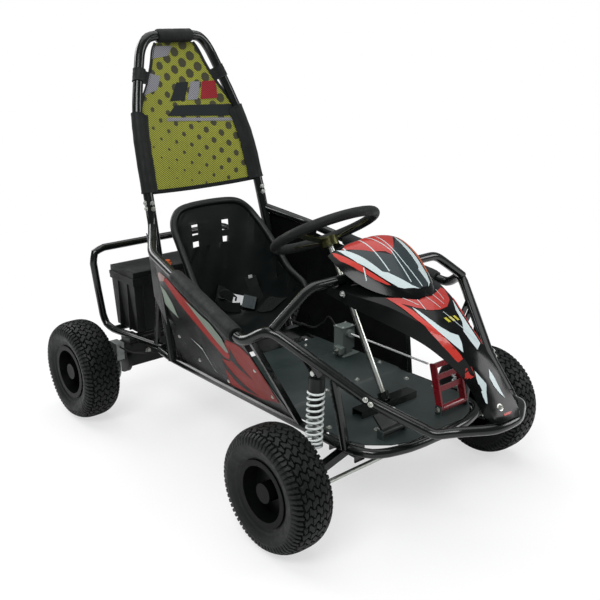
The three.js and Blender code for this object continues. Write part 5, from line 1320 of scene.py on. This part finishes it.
def chassis_screws():
    places = []
    for x, y in ((185, 120), (205, 250), (120, -60), (60, 200), (185, 380), (205, 30), (142, 525)):
        for sign in (1, -1):
            seated(places, "floor_pan", (sign * x, y, 300), (0, 0, -1), 0.0052, "dome")
    for side, sign in SIDES:
        panel, frame_side = "side_panel_" + side, "side_frame_" + side
        for y, z in ((558, 293), (185, 397), (172, 313), (640, 350), (420, 268)):
            seated(places, panel, (sign * 300, y, z), (-sign, 0, 0), 0.0042, "dome")
        places.append((place(sign * 282, 1, 435), (sign, 0, 0), 0.0085, "hex"))
        for y, z in ((-142, 400), (-157, 390)):
            seated(places, frame_side, (sign * 300, y - 30, z), (-sign * 0.87, 0.49, 0), 0.0046, "dome")
        seated(places, "nose_cone", (sign * 200, 46, 600), (-sign, 0, 0), 0.0062, "dome")
        seated(places, "nose_cone", (sign * 180, -94, 536), (-sign, 0, 0), 0.0048, "dome")
        seated(places, "axle_carrier", (sign * 181, 900, 182), (0, 1, 0), 0.0080, "hex")
        for height, back in ((705, 851), (722, 856)):
            places.append((place(sign * 216.5, back - 16, height), (0, -1, 0.1), 0.0062, "hex"))
            places.append((place(sign * (216.5 + 15.5), back, height), (sign, 0, 0), 0.0055, "dome"))
    hit, normal = surface("nose_cone", place(-12, -369, 400), (0, 0.55, -0.83))
    places.append((hit, normal if normal.z > 0 else -normal, 0.0062, "dome"))
    fasteners("chassis_screws", places)


PLUG_PROFILE = [
    (0.0155, 0.0), (0.0155, 0.004), (0.0135, 0.005), (0.0120, 0.006), (0.0110, 0.0125), (0.0095, 0.0140),
]
PLUG_SIDES = 48


def plug_cap():
    """A small orange socket cap on the battery lid, with ribs for the fingers."""
    base, _ = surface("battery_lid", place(-91, 975, 560), (0, 0, -1))
    rings = []
    for radius, rise in PLUG_PROFILE:
        ring = []
        for k in range(PLUG_SIDES):
            angle = 2 * math.pi * k / PLUG_SIDES
            reach = radius * (0.95 if k % 4 < 2 and 0.005 < rise < 0.013 else 1)
            ring.append(base + Vector((reach * math.cos(angle), reach * math.sin(angle), rise)))
        rings.append(ring)
    made = bmesh.new()
    add_skin(made, rings)
    from_bmesh("plug_cap", made, orange_plastic, body_name("battery_lid"), 40)


def block(name, low, high, bevel):
    """A grey block with rounded edges, between two corners in the kart frame."""
    made = bmesh.new()
    bmesh.ops.create_cube(made, size=1)
    a, b = place(*low), place(*high)
    for vert in made.verts:
        vert.co = Vector(a[i] if vert.co[i] < 0 else b[i] for i in range(3))
    bmesh.ops.bevel(made, geom=made.edges[:], offset=bevel / 1000, segments=3, affect="EDGES", profile=0.5)
    from_bmesh(name, made, box_grey, sharp=35)


CYLINDER_PLUG = ((0.0085, 0), (0.0085, 0.003), (0.006, 0.0035), (0.006, 0.010), (0.004, 0.0105))


def cylinder_details():
    """The master cylinder's foot, its lid with screws, and the valve block beside it."""
    block("cylinder_foot", (144, 346, 258.2), (212, 398, 263), 1.2)
    block("cylinder_lid", (151, 360, 346), (205, 404, 351), 1.6)
    block("cylinder_valve", (134, 352, 268), (154, 384, 292), 2.4)
    skin("cylinder_plug", turned(place(134.5, 368, 280), (-1, 0, 0), CYLINDER_PLUG, 24), zinc, sharp=40)
    places = []
    for x, y in ((158, 366), (198, 366), (158, 398), (198, 398)):
        places.append((place(x, y, 351), (0, 0, 1), 0.0028, "dome"))
    fasteners("cylinder_screws", places)


chassis_screws()
# A bright nut on the bracket that holds the brake pedal's pivot
fasteners("pedal_nut", [(place(64.6, -107, 266), (-1, 0, 0), 0.0064, "hex")])
plug_cap()
cylinder_details()


# Camera, floor, light

FLOOR_RADIUS = 14
# Where the floor starts to fade into white and where it has faded, in metres from the middle
FADE = (0.75, 1.9)

# The photograph's camera: angles in radians, focal length and picture width in pixels
CAMERA_AT = place(-1594.44, -1493.80, 1269.41)
YAW, PITCH, ROLL = 0.703244, 0.313436, -0.005668
FOCAL_PIXELS = 870.97
PICTURE_PIXELS = 600
SENSOR = 36

# Lamps: name, place, aim, size in metres and watts
LAMPS = [
    ("key", (-2.6, -1.6, 3.4), (0, 0, 0.5), (2.2, 1.4), 105),
    ("top", (0.6, 0.6, 4.4), (0, 0, 0.4), (5.0, 5.0), 150),
    ("fill", (3.0, -2.4, 2.2), (0, 0, 0.5), (1.6, 1.6), 50),
    ("rear", (-1.0, 3.4, 2.4), (0, 0, 0.6), (2.4, 1.2), 60),
]


def camera():
    data = bpy.data.cameras.new("camera")
    shot = placed("camera", data)
    level = Vector((math.sin(YAW), math.cos(YAW), 0))
    ahead = level * math.cos(PITCH) - Vector((0, 0, math.sin(PITCH)))
    right = Vector((math.cos(YAW), -math.sin(YAW), 0))
    up = right.cross(ahead)
    turned_right = right * math.cos(ROLL) + up * math.sin(ROLL)
    turned_up = up * math.cos(ROLL) - right * math.sin(ROLL)
    rotation = Matrix((turned_right, turned_up, -ahead)).transposed()
    shot.matrix_world = Matrix.Translation(CAMERA_AT) @ rotation.to_4x4()
    data.sensor_fit = "HORIZONTAL"
    data.sensor_width = SENSOR
    data.lens = FOCAL_PIXELS / PICTURE_PIXELS * SENSOR
    data.clip_end = 60
    bpy.context.scene.camera = shot


def sky():
    """A pale light all round, which the camera sees as white, also through clear pieces."""
    world = bpy.data.worlds.new("world")
    bpy.context.scene.world = world
    world.use_nodes = True
    tree = world.node_tree
    light = tree.nodes["Background"]
    light.inputs["Color"].default_value = (0.95, 0.97, 1.0, 1)
    light.inputs["Strength"].default_value = 0.20
    white = tree.nodes.new("ShaderNodeBackground")
    white.inputs["Color"].default_value = (1, 1, 1, 1)
    path = tree.nodes.new("ShaderNodeLightPath")
    seen = tree.nodes.new("ShaderNodeMath")
    seen.operation = "MAXIMUM"
    tree.links.new(path.outputs["Is Camera Ray"], seen.inputs[0])
    tree.links.new(path.outputs["Is Transmission Ray"], seen.inputs[1])
    mix = tree.nodes.new("ShaderNodeMixShader")
    tree.links.new(seen.outputs[0], mix.inputs[0])
    tree.links.new(light.outputs[0], mix.inputs[1])
    tree.links.new(white.outputs[0], mix.inputs[2])
    tree.links.new(mix.outputs[0], tree.nodes["World Output"].inputs["Surface"])


def ground():
    """A pale floor that fades into the white around the kart."""
    at = (0, 0, -0.0006)
    bpy.ops.mesh.primitive_circle_add(vertices=64, radius=FLOOR_RADIUS, fill_type="NGON", location=at)
    floor = bpy.context.object
    floor.name = "floor"
    s = Shader("floor_white", Roughness=0.9)
    s.shader.inputs["Base Color"].default_value = (0.90, 0.90, 0.90, 1)
    glow = s.node("ShaderNodeEmission", {"Color": (1, 1, 1, 1)})
    far = s.node("ShaderNodeVectorMath", operation="LENGTH")
    s.join(s.place, far.inputs[0])
    distance = s.spread(far.outputs["Value"], *FADE, 0.62, 1.0)
    seen = s.node("ShaderNodeLightPath")
    factor = s.math("MULTIPLY", distance, seen.outputs["Is Camera Ray"])
    mixed = s.node("ShaderNodeMixShader")
    s.join(factor, mixed.inputs[0])
    s.join(s.shader.outputs[0], mixed.inputs[1])
    s.join(glow.outputs[0], mixed.inputs[2])
    s.join(mixed.outputs[0], s.tree.nodes["Material Output"].inputs["Surface"])
    floor.data.materials.append(s.material)


def lamp(name, at, aim, size, power):
    data = bpy.data.lights.new(name, "AREA")
    data.shape = "RECTANGLE"
    data.size, data.size_y = size
    data.energy = power
    shine = placed(name, data)
    shine.location = at
    shine.rotation_euler = (Vector(aim) - Vector(at)).to_track_quat("-Z", "Y").to_euler()


camera()
sky()
ground()
for row in LAMPS:
    lamp(*row)
bpy.context.scene.view_settings.view_transform = "Standard"
